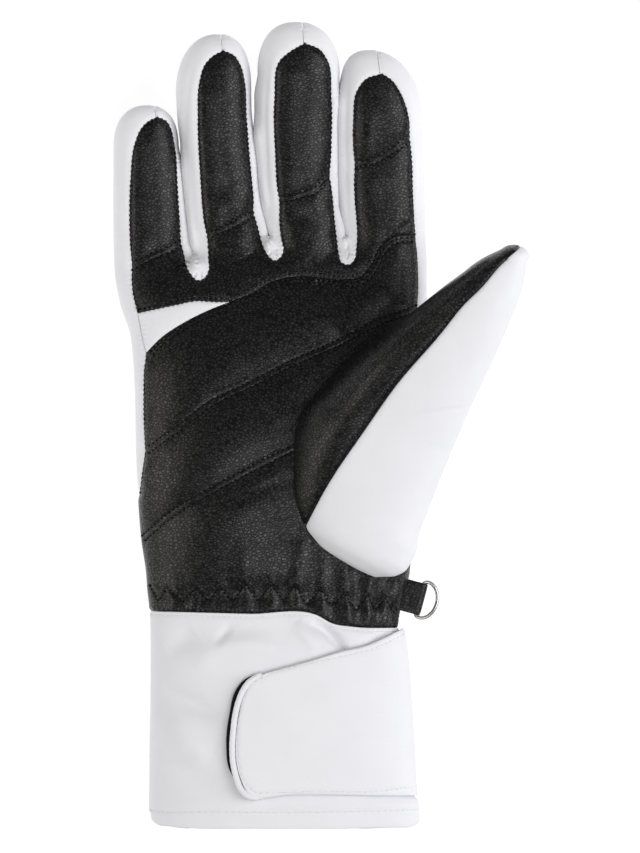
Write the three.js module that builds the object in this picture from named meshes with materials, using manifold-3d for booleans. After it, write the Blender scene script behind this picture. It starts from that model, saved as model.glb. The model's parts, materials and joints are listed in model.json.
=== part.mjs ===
// A padded winter sport glove for the right hand, lying on its back with the palm up.
// Millimetres, +Z up from the surface that it lies on, fingers along +Y, thumb towards +X.
// The hand, each finger, the thumb and the cuff are lofts through rounded sections, hollowed by a
// second loft one wall further in, and then cut into the panels that a glove maker sews together.

import * as THREE from 'three';
import { mergeVertices } from 'three/addons/utils/BufferGeometryUtils.js';
import Module from 'manifold-3d';

const wasm = await Module();
wasm.setup();

// Walls and clearances
const WALL = 3;
const CUFF_WALL = 2.6;
const GAP = 0.3;

// Shape of a section: 1 is an ellipse, smaller is closer to a box
const ROUNDNESS = 0.84;
const DENSE_POINTS = 240;

// Sides of the lofts
const HAND_SIDES = 44;
const FINGER_SIDES = 16;
const THUMB_SIDES = 20;
const CUFF_SIDES = 28;
const INNER_SIDES = 10;

// The seam over each fingertip starts this far below the leather's point
const SLIT_START = 6;

// White panels on the palm side and between the fingers
const SIDE_PANELS = 6;

// Height where the palm panels end on the side of the hand
const PALM_FLOOR = 18;

// Lines beyond every piece, where the outlines of the cuts are closed
const BELOW_ALL = -1;
const ABOVE_ALL = 120;
const BESIDE_ALL = 120;
const FAR_DOWN = -150;
const FAR_UP = 160;
const FAR_LEFT = -80;
const FAR_RIGHT = 60;

// Points closer than this are one point; corners of a moved outline are stretched at most this much
const SAME_POINT = 1e-5;
const MAX_STRETCH = 2;

// The hollow of the hand ends here, in a lower section, and the fingers' hollows go on from it
const HOLLOW_END = { y: 52.5, over: 28.5 };

// Elastic gather: the depth of its folds at stations along the wrist
const GATHER = [
  { y: -76, depth: 0.9 },
  { y: -62, depth: 1.3 },
  { y: -56, depth: 1.5 },
  { y: -50, depth: 0.7 },
  { y: -44, depth: 0 },
];

// Sections of the hand from below the wrist to the webs between the fingers
const HAND = [
  { y: -74, left: -58.6, right: 27.6, under: 1.5, over: 37 },
  { y: -68, left: -58.8, right: 27.2, under: 2, over: 36.5 },
  { y: -63, left: -59.2, right: 27.8, under: 2, over: 36 },
  { y: -57, left: -59.9, right: 29.6, under: 1.2, over: 36 },
  { y: -50.5, left: -60.4, right: 31.2, under: 0, over: 36.5 },
  { y: -39.5, left: -62, right: 31.9, under: -1.5, over: 38 },
  { y: -25.5, left: -63.1, right: 32.2, under: -2.5, over: 40 },
  { y: -8, left: -63.8, right: 33.3, under: -3, over: 40.5 },
  { y: 9, left: -64.1, right: 34.7, under: -3, over: 39.5 },
  { y: 30, left: -65.5, right: 36.4, under: -3, over: 36 },
  { y: 43.5, left: -69.6, right: 37.1, under: -2.5, over: 32 },
  { y: 54.5, left: -71.2, right: 37, under: 0, over: 28 },
  { y: 56.5, left: -46, right: 37, under: 0, over: 27.5 },
  { y: 62, left: -43, right: 36.5, under: 3, over: 25 },
  { y: 65, left: -39, right: 35.5, under: 8, over: 20 },
];

// Sections of each finger from inside the hand to where its round tip starts, and the tip itself
const FINGERS = {
  little: {
    tip: { x: -60, y: 111.2, z: 19 },
    rows: [
      { y: 42, left: -68.5, right: -44, under: 1, over: 24 },
      { y: 56, left: -71.4, right: -43.2, under: 0.5, over: 24 },
      { y: 64, left: -71.6, right: -45.3, under: 0.5, over: 24 },
      { y: 78, left: -71.7, right: -47.2, under: 2, over: 25 },
      { y: 97, left: -71.6, right: -49, under: 5, over: 27 },
    ],
  },
  ring: {
    tip: { x: -35.5, y: 135.8, z: 22 },
    rows: [
      { y: 42, left: -41.5, right: -17, under: 0, over: 26.5 },
      { y: 56, left: -42.4, right: -16.8, under: 0, over: 26.5 },
      { y: 64, left: -44.5, right: -17.9, under: 0.5, over: 26.5 },
      { y: 78, left: -46.4, right: -20.8, under: 1.5, over: 27 },
      { y: 92, left: -47.8, right: -22.3, under: 3, over: 28.5 },
      { y: 104, left: -49.2, right: -23.5, under: 5.5, over: 30 },
      { y: 115, left: -50, right: -23.7, under: 7.5, over: 31.5 },
    ],
  },
  middle: {
    tip: { x: -8.2, y: 140, z: 24.5 },
    rows: [
      { y: 42, left: -15.8, right: 8, under: 0, over: 27.5 },
      { y: 56, left: -16, right: 8.4, under: 0, over: 27.5 },
      { y: 65, left: -17.2, right: 8.4, under: 0.5, over: 27.5 },
      { y: 78, left: -20, right: 6.4, under: 1.5, over: 28 },
      { y: 92, left: -21.5, right: 5.7, under: 3, over: 29.5 },
      { y: 104, left: -22.7, right: 5.8, under: 5.5, over: 31 },
      { y: 114, left: -22.8, right: 6.5, under: 7.5, over: 32.5 },
      { y: 122, left: -21.6, right: 6.8, under: 9.5, over: 34 },
    ],
  },
  index: {
    tip: { x: 17, y: 130.3, z: 22 },
    rows: [
      { y: 42, left: 10, right: 36.8, under: 0, over: 27.5 },
      { y: 56, left: 9.6, right: 37.1, under: 0, over: 27.5 },
      { y: 65, left: 9.2, right: 36.7, under: 0.5, over: 27.5 },
      { y: 78, left: 7.2, right: 36.4, under: 1.5, over: 28 },
      { y: 92, left: 6.5, right: 35.9, under: 3.5, over: 29.5 },
      { y: 108, left: 6.6, right: 35.2, under: 6.5, over: 32 },
    ],
  },
};

// Round fingertips: exponent of their outline, and the share of the tip at each ring
const TIP_POWER = 2.3;
const TIP_SHARES = [0.35, 0.62, 0.82, 0.95];

// The thumb has a frame of its own: y runs from the heel of the thumb to its tip
const THUMB_HEEL = new THREE.Vector3(11.1, -42.3, 0);
const THUMB_TURN = THREE.MathUtils.degToRad(-28.6);
const THUMB_START = new THREE.Vector3(0, -6.2, 29);
const THUMB_TIP = new THREE.Vector3(1.8, 119.4, 64);
const THUMB = [
  { y: -4.4, left: -14, right: 12.5, under: 21, over: 38 },
  { y: -1, left: -21, right: 17.5, under: 15, over: 43.5 },
  { y: 3, left: -25.5, right: 20, under: 10.5, over: 46.5 },
  { y: 8, left: -29.5, right: 20.3, under: 7.5, over: 49 },
  { y: 16, left: -34, right: 17.9, under: 5, over: 52 },
  { y: 25, left: -38, right: 16.7, under: 5, over: 54.5 },
  { y: 33, left: -38.8, right: 15.6, under: 7, over: 56.5 },
  { y: 43, left: -36, right: 14.5, under: 10.5, over: 59 },
  { y: 60, left: -30.5, right: 12.8, under: 21, over: 64.5 },
  { y: 84, left: -19.1, right: 11.2, under: 35, over: 71 },
  { y: 98.5, left: -13.1, right: 10.3, under: 43, over: 74.5 },
  { y: 109, left: -8.6, right: 8.5, under: 48, over: 75 },
  { y: 115.5, left: -4.2, right: 6, under: 53.5, over: 73 },
];

// Edge between the thumb's leather and its white side, and the height where the leather ends below
const THUMB_EDGE = [
  { y: -10, x: -18, floor: 22 },
  { y: 17, x: -18, floor: 18 },
  { y: 37, x: -16, floor: 20 },
  { y: 57, x: -13.7, floor: 30 },
  { y: 79, x: -9, floor: 42 },
  { y: 92.5, x: -6.6, floor: 50 },
  { y: 100, x: -4.3, floor: 54 },
  { y: 110.5, x: -2.1, floor: 58 },
  { y: 119, x: 0.8, floor: 62 },
  { y: 125, x: 1.5, floor: 64 },
];

// Sections of the cuff from under the wrist to the hem; the strap presses its thumb side in
const CUFF = [
  { y: -140, left: -59.4, right: 34.6, under: -2, over: 41.5 },
  { y: -130, left: -59.3, right: 34.2, under: -2, over: 41.5 },
  { y: -127, left: -59.2, right: 31.8, under: -2, over: 41 },
  { y: -112, left: -59.1, right: 31, under: -2, over: 40.5 },
  { y: -95, left: -58.8, right: 29.9, under: -1.5, over: 39.5 },
  { y: -78, left: -58.7, right: 28.5, under: -1, over: 38.5 },
  { y: -70, left: -58.8, right: 27.4, under: 1, over: 37.2 },
  { y: -66, left: -58.9, right: 28.2, under: 1.2, over: 36.8 },
  { y: -60, left: -59.2, right: 28.2, under: 1.5, over: 36.5 },
];

// Edge of the hem, from the little finger side to the thumb side
const HEM_EDGE = [
  { x: -62, y: -133.5 },
  { x: -59.3, y: -134 },
  { x: -58.8, y: -136.3 },
  { x: -57, y: -137.8 },
  { x: -52, y: -138.6 },
  { x: -20, y: -139.4 },
  { x: 5, y: -139.4 },
  { x: 25, y: -138.9 },
  { x: 32.3, y: -138.1 },
  { x: 34, y: -136.8 },
  { x: 34.7, y: -134 },
  { x: 60, y: -133.5 },
];

// Seam between the wrist and the cuff, from the little finger side to the thumb side
const WRIST_SEAM = [
  { x: -80, y: -64 },
  { x: -58.9, y: -64.1 },
  { x: -24.3, y: -64.8 },
  { x: -1, y: -65.3 },
  { x: 4.5, y: -68.2 },
  { x: 11, y: -69.3 },
  { x: 27, y: -69.8 },
  { x: 60, y: -69.8 },
];

// Side view of the seam between the back panel and the finger sides
const BACK_SEAM = [
  { y: -90, z: 18 },
  { y: -24, z: 18 },
  { y: 0, z: 13 },
  { y: 35, z: 9 },
  { y: 80, z: 9 },
  { y: 105, z: 12.5 },
  { y: 125, z: 16.5 },
  { y: 150, z: 17.8 },
];

// Leather on each finger: its point near the tip, and its edges from there down
const FINGER_LEATHER = {
  little: {
    point: { x: -56.1, y: 107.2 },
    seamTop: { x: -57.5, y: 114 },
    rows: [
      { y: 105.7, left: -59.2, right: -52.8 },
      { y: 103, left: -61.9, right: -51.2 },
      { y: 98, left: -64.1, right: -50.1 },
      { y: 85, left: -65.8, right: -49.2 },
      { y: 71, left: -66.2, right: -48.2 },
      { y: 57.5, left: -65.8, right: -46.4 },
    ],
  },
  ring: {
    point: { x: -33.3, y: 130.1 },
    seamTop: { x: -34.5, y: 138 },
    rows: [
      { y: 128.2, left: -36.9, right: -29.3 },
      { y: 125, left: -39.9, right: -27.2 },
      { y: 119, left: -41.8, right: -25.6 },
      { y: 107, left: -42.4, right: -25 },
      { y: 85, left: -41.6, right: -23.2 },
      { y: 64.5, left: -39.8, right: -20.1 },
    ],
  },
  middle: {
    point: { x: -5.2, y: 132.5 },
    seamTop: { x: -6.3, y: 142 },
    rows: [
      { y: 130, left: -9.6, right: 0.5 },
      { y: 126.5, left: -13.9, right: 2.9 },
      { y: 113, left: -15.9, right: 4.3 },
      { y: 92, left: -15.6, right: 4.2 },
      { y: 78, left: -14.9, right: 4.9 },
      { y: 64.5, left: -13.5, right: 6.2 },
    ],
  },
  index: {
    point: { x: 21.5, y: 122 },
    seamTop: { x: 19.3, y: 133 },
    rows: [
      { y: 120, left: 15.8, right: 24.6 },
      { y: 115.5, left: 12.5, right: 27.9 },
      { y: 106, left: 11.4, right: 31.2 },
      { y: 92, left: 11.4, right: 32.2 },
      { y: 78, left: 11.8, right: 32.6 },
      { y: 65, left: 12.5, right: 33.4 },
    ],
  },
};

// Round ends of the white strips between the fingers, from the little finger to the index finger
const CROTCHES = [
  [{ x: -44.4, y: 51.8 }, { x: -41.4, y: 50.2 }, { x: -39.7, y: 53.5 }],
  [{ x: -18.3, y: 59 }, { x: -15.2, y: 57.4 }, { x: -13.1, y: 60.5 }],
  [{ x: 7.1, y: 58 }, { x: 9.3, y: 56 }, { x: 11.3, y: 58.2 }],
];

// Seam where the two palm leathers meet, from the index finger to the white insert
const PALM_SEAM = [
  { x: 33.6, y: 66.5 },
  { x: 24.6, y: 65.1 },
  { x: 20.3, y: 61 },
  { x: 17.7, y: 55.4 },
  { x: 14.1, y: 51.6 },
  { x: 8, y: 50.8 },
  { x: -5.7, y: 52 },
  { x: -16.3, y: 50.2 },
  { x: -24.3, y: 45.7 },
  { x: -30.8, y: 43.3 },
];

// The rest of the upper leather's outline, below the insert and up to the little finger
const UPPER_LEATHER_SIDE = [
  { x: -37.5, y: 43.3 },
  { x: -43, y: 43.5 },
  { x: -50, y: 42.1 },
  { x: -63.3, y: 39.2 },
  { x: -64.6, y: 43.7 },
  { x: -65.6, y: 50.6 },
];

// Outer edge of the white insert between the two leathers, on the little finger side
const INSERT_EDGE = { top: { x: -63.3, y: 39.2 }, bottom: { x: -60.6, y: 25.3 } };

// The rest of the lower leather's outline: the insert's edge, the little finger side, the thumb side
const LOWER_LEATHER_TOP = [
  { x: -38.1, y: 40.5 },
  { x: -46.1, y: 36.5 },
  { x: -56.1, y: 29.8 },
  { x: -60.6, y: 25.3 },
];
const LOWER_LEATHER_SIDE = [
  { x: -61.1, y: 21 },
  { x: -61.4, y: 10 },
  { x: -61.4, y: -10 },
  { x: -62.2, y: -18 },
  { x: -63, y: -24 },
  { x: -80, y: -24 },
];
const LOWER_LEATHER_THUMB_SIDE = [
  { x: 60, y: -34 },
  { x: 36, y: -28 },
  { x: 31, y: -8 },
  { x: 31.5, y: 10 },
  { x: 33.6, y: 30 },
  { x: 34.3, y: 45 },
];

// Closure strap: its outline from the top edge round the end to the lower edge
const STRAP = { gap: 0.3, rise: 1.5, thickness: 1.9, floor: 11 };
const STRAP_OUTLINE = [
  { x: 60, y: -66 },
  { x: 29, y: -70.3 },
  { x: 22.8, y: -73.1 },
  { x: 15.9, y: -75.9 },
  { x: 8, y: -77.7 },
  { x: -3.2, y: -81.1 },
  { x: -22, y: -86.2 },
  { x: -26.6, y: -89.5 },
  { x: -29, y: -93.6 },
  { x: -30.6, y: -100.5 },
  { x: -31.2, y: -110.5 },
  { x: -30.2, y: -119.5 },
  { x: -28, y: -125.4 },
  { x: -26.2, y: -128.3 },
  { x: -22.4, y: -129.2 },
  { x: -11.9, y: -127.6 },
  { x: 1.7, y: -127.4 },
  { x: 20.3, y: -127.8 },
  { x: 60, y: -127.4 },
];

// Bound end of the strap: the inner edge of the binding, from the top edge to the lower edge
const BINDING_INNER_EDGE = [
  { x: -21.6, y: -80 },
  { x: -24.4, y: -88.8 },
  { x: -27, y: -93 },
  { x: -28.2, y: -101 },
  { x: -28.6, y: -110.5 },
  { x: -27.6, y: -118.5 },
  { x: -25, y: -126 },
  { x: -22, y: -135 },
];
const BINDING_EXTRA = 0.4;

// Hook pad under the end of the strap; its edge shows beyond the binding
const PAD = { gap: 0.3, thickness: 0.8 };
const PAD_OUTLINE = [
  { x: 6, y: -86 },
  { x: -22, y: -86.8 },
  { x: -27, y: -88.3 },
  { x: -29.8, y: -92.5 },
  { x: -31.3, y: -100 },
  { x: -32.2, y: -110.5 },
  { x: -31, y: -119.5 },
  { x: -26, y: -124.5 },
  { x: 6, y: -124 },
];

// Loop tab and ring: the bar's place and direction, the loop's eye and the ring's wire
const BAR_CENTRE = new THREE.Vector3(34.4, -59.9, 18.5);
const TAB_TURN = THREE.MathUtils.degToRad(-15);
const TAB = { width: 10.6, halfThickness: 1.2, length: 9, eyeRadius: 2.2, curveSteps: 6 };
const RING = { halfHeight: 6.35, depth: 6.25, wireRadius: 0.65, cornerRadius: 1.5, wireSides: 6, steps: 28 };

const WHITE_CLOTH = new THREE.MeshStandardMaterial({ color: 0xeeeef3, roughness: 0.85, metalness: 0 });
const BLACK_LEATHER = new THREE.MeshStandardMaterial({ color: 0x232324, roughness: 0.5, metalness: 0 });
const HOOK_TAPE = new THREE.MeshStandardMaterial({ color: 0x141415, roughness: 0.95, metalness: 0 });
const BRIGHT_METAL = new THREE.MeshStandardMaterial({ color: 0xc9cacc, roughness: 0.25, metalness: 1 });

// A closed geometry as a solid that can be joined and cut
function toSolid(geometry) {
  geometry.deleteAttribute('normal');
  geometry.deleteAttribute('uv');
  const merged = mergeVertices(geometry, SAME_POINT);
  const mesh = new wasm.Mesh({
    numProp: 3,
    vertProperties: new Float32Array(merged.attributes.position.array),
    triVerts: new Uint32Array(merged.index.array),
  });
  return new wasm.Manifold(mesh);
}

function toGeometry(solid) {
  const mesh = solid.getMesh();
  const geometry = new THREE.BufferGeometry();
  geometry.setAttribute('position', new THREE.BufferAttribute(mesh.vertProperties, 3));
  geometry.setIndex(new THREE.BufferAttribute(mesh.triVerts, 1));
  geometry.computeVertexNormals();
  return geometry;
}

// The parts that a cut leaves, largest first
function pieces(solid) {
  return solid.decompose().sort((a, b) => b.volume() - a.volume());
}

// Value of a named column at y, in a table sorted by y
function valueAt(table, column, y) {
  const next = table.findIndex((row) => row.y >= y);
  if (next <= 0) {
    return next === 0 ? table[0][column] : table[table.length - 1][column];
  }
  const before = table[next - 1];
  const share = (y - before.y) / (table[next].y - before.y);
  return THREE.MathUtils.lerp(before[column], table[next][column], share);
}

// Points at even spacing round a closed outline
function evenPoints(outline, count) {
  const lengths = [0];
  for (let i = 1; i < outline.length; i += 1) {
    lengths.push(lengths[i - 1] + outline[i].distanceTo(outline[i - 1]));
  }
  const total = lengths[lengths.length - 1];
  const points = [];
  let step = 1;
  for (let i = 0; i < count; i += 1) {
    const wanted = (total * i) / count;
    while (lengths[step] < wanted) {
      step += 1;
    }
    const share = (wanted - lengths[step - 1]) / (lengths[step] - lengths[step - 1]);
    points.push(outline[step - 1].clone().lerp(outline[step], share));
  }
  return points;
}

// One section: a rounded box in a plane of constant y, pressed flat where it meets the floor
function section(row, sides, grow, floor) {
  const halfWidth = (row.right - row.left) / 2 + grow;
  const halfDepth = (row.over - row.under) / 2 + grow;
  const middleX = (row.left + row.right) / 2;
  const middleZ = (row.under + row.over) / 2;
  const outline = [];
  for (let i = 0; i <= DENSE_POINTS; i += 1) {
    const angle = (2 * Math.PI * i) / DENSE_POINTS;
    const across = Math.cos(angle);
    const up = Math.sin(angle);
    const x = middleX + halfWidth * Math.sign(across) * Math.abs(across) ** ROUNDNESS;
    const z = middleZ + halfDepth * Math.sign(up) * Math.abs(up) ** ROUNDNESS;
    outline.push(new THREE.Vector2(x, Math.max(z, floor)));
  }
  return evenPoints(outline, sides).map((point) => new THREE.Vector3(point.x, row.y, point.y));
}

function middleOf(points) {
  const sum = points.reduce((total, point) => total.add(point), new THREE.Vector3());
  return sum.divideScalar(points.length);
}

// A closed loft through rings that follow each other along +y, ended by a point or a flat cap
function loft(rings, firstPoint, lastPoint) {
  const sides = rings[0].length;
  const positions = rings.flat();
  const index = [];
  for (let r = 0; r + 1 < rings.length; r += 1) {
    for (let i = 0; i < sides; i += 1) {
      const a = r * sides + i;
      const b = r * sides + ((i + 1) % sides);
      index.push(a, a + sides, b + sides, a, b + sides, b);
    }
  }
  const first = positions.push(firstPoint ?? middleOf(rings[0])) - 1;
  const last = positions.push(lastPoint ?? middleOf(rings[rings.length - 1])) - 1;
  const lastRing = (rings.length - 1) * sides;
  for (let i = 0; i < sides; i += 1) {
    const next = (i + 1) % sides;
    index.push(first, i, next);
    index.push(last, lastRing + next, lastRing + i);
  }
  const geometry = new THREE.BufferGeometry().setFromPoints(positions);
  geometry.setIndex(index);
  return geometry;
}

// A solid through the rows of a table; grow moves its surface out, or in when negative
function tableSolid(rows, sides, grow, floor, firstPoint, lastPoint) {
  return toSolid(loft(rows.map((row) => section(row, sides, grow, floor)), firstPoint, lastPoint));
}

// A hollow follows every second row of its outer form
function everySecond(rows) {
  return rows.filter((row, i) => i % 2 === 0 || i === rows.length - 1);
}

// Rows of a round fingertip beyond the last row of the finger
function tipRows(last, tip, grow) {
  return TIP_SHARES.map((share) => {
    const width = (1 - share ** TIP_POWER) ** (1 / TIP_POWER);
    const middleX = THREE.MathUtils.lerp((last.left + last.right) / 2, tip.x, share * share);
    const middleZ = THREE.MathUtils.lerp((last.under + last.over) / 2, tip.z, share * share);
    const halfWidth = ((last.right - last.left) / 2 + grow) * width - grow;
    const halfDepth = ((last.over - last.under) / 2 + grow) * width - grow;
    return {
      y: THREE.MathUtils.lerp(last.y, tip.y + grow, share),
      left: middleX - halfWidth,
      right: middleX + halfWidth,
      under: middleZ - halfDepth,
      over: middleZ + halfDepth,
    };
  });
}

function fingerSolid(finger, sides, grow, floor) {
  const last = finger.rows[finger.rows.length - 1];
  const ends = tipRows(last, finger.tip, grow);
  const thinned = [...everySecond(finger.rows), ...everySecond(ends)];
  const rows = grow < 0 ? thinned : [...finger.rows, ...ends];
  const end = new THREE.Vector3(finger.tip.x, finger.tip.y + grow, finger.tip.z);
  return tableSolid(rows, sides, grow, floor, undefined, end);
}

// The hand with its gathered wrist: every second point round the wrist is drawn in
function gatheredHand(grow) {
  const rings = HAND.map((row) => {
    const ring = section(row, HAND_SIDES, grow, -grow);
    const depth = valueAt(GATHER, 'depth', row.y);
    const middle = new THREE.Vector3((row.left + row.right) / 2, row.y, (row.under + row.over) / 2);
    return ring.map((point, i) => {
      const inward = middle.clone().sub(point).setLength(i % 2 === 1 ? depth : 0);
      return point.clone().add(inward);
    });
  });
  return toSolid(loft(rings));
}

// Hollow of the hand: open below the wrist, closed one wall short of the webs
function handHollow() {
  const rows = HAND.filter((row) => row.y < HOLLOW_END.y).map((row) => {
    const depth = valueAt(GATHER, 'depth', row.y);
    return {
      y: row.y,
      left: row.left + depth,
      right: row.right - depth,
      under: row.under + depth,
      over: row.over - depth,
    };
  });
  const open = { ...rows[0], y: rows[0].y - WALL };
  const end = { ...rows[rows.length - 1], ...HOLLOW_END };
  return tableSolid([open, ...everySecond(rows), end], HAND_SIDES / 2, -WALL, WALL);
}

// An upright prism over a closed outline of named points
function prism(outline, bottom, top) {
  const shape = new THREE.Shape(outline.map((point) => new THREE.Vector2(point.x, point.y)));
  const geometry = new THREE.ExtrudeGeometry(shape, { depth: top - bottom, bevelEnabled: false });
  return toSolid(geometry.translate(0, 0, bottom));
}

// A prism that runs the whole width of the glove over an outline in its side view
function sidePrism(outline) {
  const shape = new THREE.Shape(outline.map((point) => new THREE.Vector2(point.y, point.z)));
  const geometry = new THREE.ExtrudeGeometry(shape, { depth: 2 * BESIDE_ALL, bevelEnabled: false });
  const turn = new THREE.Matrix4().makeBasis(
    new THREE.Vector3(0, 1, 0),
    new THREE.Vector3(0, 0, 1),
    new THREE.Vector3(1, 0, 0),
  );
  return toSolid(geometry.applyMatrix4(turn).translate(-BESIDE_ALL, 0, 0));
}

// A closed outline moved outwards by a distance
function outset(outline, distance) {
  const points = outline.map((point) => new THREE.Vector2(point.x, point.y));
  const turn = THREE.ShapeUtils.isClockWise(points) ? 1 : -1;
  return points.map((point, i) => {
    const before = points[(i + points.length - 1) % points.length];
    const after = points[(i + 1) % points.length];
    const inDirection = point.clone().sub(before).normalize();
    const outDirection = after.clone().sub(point).normalize();
    const along = inDirection.clone().add(outDirection).normalize();
    const stretch = 1 / Math.max(along.dot(outDirection), 1 / MAX_STRETCH);
    return new THREE.Vector2(-along.y, along.x).multiplyScalar(turn * distance * stretch).add(point);
  });
}

// A thin upright wall between two points, as wide as the gap between two panels
function slit(from, to, bottom) {
  const along = new THREE.Vector2(to.x - from.x, to.y - from.y).normalize();
  const across = new THREE.Vector2(-along.y, along.x).multiplyScalar(GAP / 2);
  const start = new THREE.Vector2(from.x, from.y).sub(along);
  const end = new THREE.Vector2(to.x, to.y).add(along);
  const corners = [start.clone().sub(across), end.clone().sub(across), end.clone().add(across),
    start.clone().add(across)];
  return prism(corners, bottom, ABOVE_ALL);
}

// A solid turned and moved from the thumb's own frame to its place on the hand
function thumbFrame(solid) {
  const turn = new THREE.Matrix4().makeRotationZ(THUMB_TURN).setPosition(THUMB_HEEL);
  return solid.transform(turn.elements);
}

// Outer form and hollow of the hand with its fingers, and the form of the thumb
function handForm(grow) {
  const fingers = Object.values(FINGERS).map((finger) => fingerSolid(finger, FINGER_SIDES, grow, -grow));
  return wasm.Manifold.union([gatheredHand(grow), ...fingers]);
}

function hollowForm() {
  const fingers = Object.values(FINGERS).map((finger) => fingerSolid(finger, INNER_SIDES, -WALL, WALL));
  return wasm.Manifold.union([handHollow(), ...fingers]);
}

function thumbForm(sides, grow) {
  const start = THUMB_START.clone().setY(THUMB_START.y - grow);
  const end = THUMB_TIP.clone().setY(THUMB_TIP.y + grow);
  return thumbFrame(tableSolid(THUMB, sides, grow, 0, start, end));
}

// Outline of the upper leather: up and down each finger, then along the seam and the insert
function upperLeatherOutline() {
  const outline = [];
  Object.values(FINGER_LEATHER).forEach((finger, i) => {
    const upward = [...finger.rows].reverse().map((row) => ({ x: row.left, y: row.y }));
    const downward = finger.rows.map((row) => ({ x: row.right, y: row.y }));
    outline.push(...upward, finger.point, ...downward, ...(CROTCHES[i] ?? []));
  });
  outline.pop();
  return [...outline, ...PALM_SEAM, ...UPPER_LEATHER_SIDE];
}

// Outline of the lower leather: the palm seam, the insert, the little finger side, the wrist, the thumb
function lowerLeatherOutline() {
  const seam = [...PALM_SEAM, ...LOWER_LEATHER_TOP, ...LOWER_LEATHER_SIDE];
  return [...seam, ...WRIST_SEAM, ...LOWER_LEATHER_THUMB_SIDE];
}

// Everything above or below the seam between the wrist and the cuff
function aboveWristSeam() {
  const corners = [{ x: FAR_RIGHT, y: FAR_UP }, { x: FAR_LEFT, y: FAR_UP }];
  return prism([...WRIST_SEAM, ...corners], BELOW_ALL, ABOVE_ALL);
}

function belowWristSeam() {
  const lowered = WRIST_SEAM.map((point) => ({ x: point.x, y: point.y - GAP }));
  return prism([...HEM_EDGE, ...lowered.reverse()], BELOW_ALL, ABOVE_ALL);
}

// Everything above a line in the side view, and everything below it by the gap between two panels
function aboveLine(line) {
  const first = line[0];
  const last = line[line.length - 1];
  return sidePrism([...line, { y: last.y, z: ABOVE_ALL }, { y: first.y, z: ABOVE_ALL }]);
}

function belowLine(line) {
  const first = line[0];
  const last = line[line.length - 1];
  const lowered = line.map((point) => ({ y: point.y, z: point.z - GAP })).reverse();
  return sidePrism([{ y: first.y, z: BELOW_ALL }, { y: last.y, z: BELOW_ALL }, ...lowered]);
}

// Panels of the hand: white back, white sides of the fingers, upper and lower leather
function handPanels() {
  const thumbHollow = thumbForm(INNER_SIDES, -WALL);
  const skin = handForm(0).subtract(hollowForm()).subtract(thumbHollow).intersect(aboveWristSeam());
  const upperOutline = upperLeatherOutline();
  const lowerOutline = lowerLeatherOutline();
  const upperCut = prism(outset(upperOutline, GAP), PALM_FLOOR - GAP, ABOVE_ALL);
  const lowerCut = prism(outset(lowerOutline, GAP), PALM_FLOOR - GAP, ABOVE_ALL);
  const upperLeather = skin.intersect(prism(upperOutline, PALM_FLOOR, ABOVE_ALL));
  const lowerLeather = skin.intersect(prism(lowerOutline, PALM_FLOOR, ABOVE_ALL)).subtract(upperCut);
  const slits = Object.values(FINGER_LEATHER).map((finger) => {
    const start = { x: finger.point.x, y: finger.point.y - SLIT_START };
    return slit(start, finger.seamTop, 0);
  });
  const insertEdge = slit(INSERT_EDGE.top, INSERT_EDGE.bottom, PALM_FLOOR);
  const cuts = wasm.Manifold.union([upperCut, lowerCut, insertEdge, ...slits]);
  const sides = pieces(skin.intersect(aboveLine(BACK_SEAM)).subtract(cuts)).slice(0, SIDE_PANELS);
  return {
    back: pieces(skin.intersect(belowLine(BACK_SEAM)))[0],
    upperLeather: pieces(upperLeather)[0],
    lowerLeather: pieces(lowerLeather)[0],
    sides: sides.sort((a, b) => a.boundingBox().min[0] - b.boundingBox().min[0]),
  };
}

// White shell and leather of the thumb, open towards the hand
function thumbPanels() {
  const walls = thumbForm(THUMB_SIDES, 0).subtract(thumbForm(INNER_SIDES, -WALL));
  const shell = pieces(walls.subtract(handForm(GAP)))[0];
  const start = THUMB_EDGE[0].y;
  const end = THUMB_EDGE[THUMB_EDGE.length - 1].y;
  const edge = THUMB_EDGE.map((row) => ({ x: row.x, y: row.y }));
  const whiteEdge = THUMB_EDGE.map((row) => ({ x: row.x + GAP, y: row.y }));
  const leatherArea = [...edge, { x: FAR_LEFT, y: end }, { x: FAR_LEFT, y: start }];
  const whiteArea = [...whiteEdge, { x: FAR_RIGHT, y: end }, { x: FAR_RIGHT, y: start }];
  const floorLine = THUMB_EDGE.map((row) => ({ y: row.y, z: row.floor }));
  const leather = thumbFrame(prism(leatherArea, BELOW_ALL, ABOVE_ALL).intersect(aboveLine(floorLine)));
  const white = thumbFrame(prism(whiteArea, BELOW_ALL, ABOVE_ALL).add(belowLine(floorLine)));
  return { leather: pieces(shell.intersect(leather))[0], shell: pieces(shell.intersect(white))[0] };
}

// The cuff's outer form moved out, by one distance at its sides and another on its palm side
function cuffLayer(side, rise) {
  const rings = CUFF.map((row) => {
    const ring = section(row, CUFF_SIDES, 0, 0);
    return ring.map((point, i) => {
      const along = ring[(i + 1) % CUFF_SIDES].clone().sub(ring[(i + CUFF_SIDES - 1) % CUFF_SIDES]);
      const outward = new THREE.Vector3(along.z, 0, -along.x).normalize();
      const distance = THREE.MathUtils.lerp(side, rise, Math.max(outward.z, 0));
      return point.clone().addScaledVector(outward, distance);
    });
  });
  return toSolid(loft(rings));
}

// The cuff's tube, open at the wrist and at the hem
function cuffPanel() {
  const first = CUFF[0];
  const mouth = { ...first, y: first.y - WALL };
  const outer = cuffLayer(0, 0);
  const hollow = tableSolid([mouth, ...everySecond(CUFF)], CUFF_SIDES / 2, -CUFF_WALL, CUFF_WALL);
  return pieces(outer.subtract(hollow).intersect(belowWristSeam()))[0];
}

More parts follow.
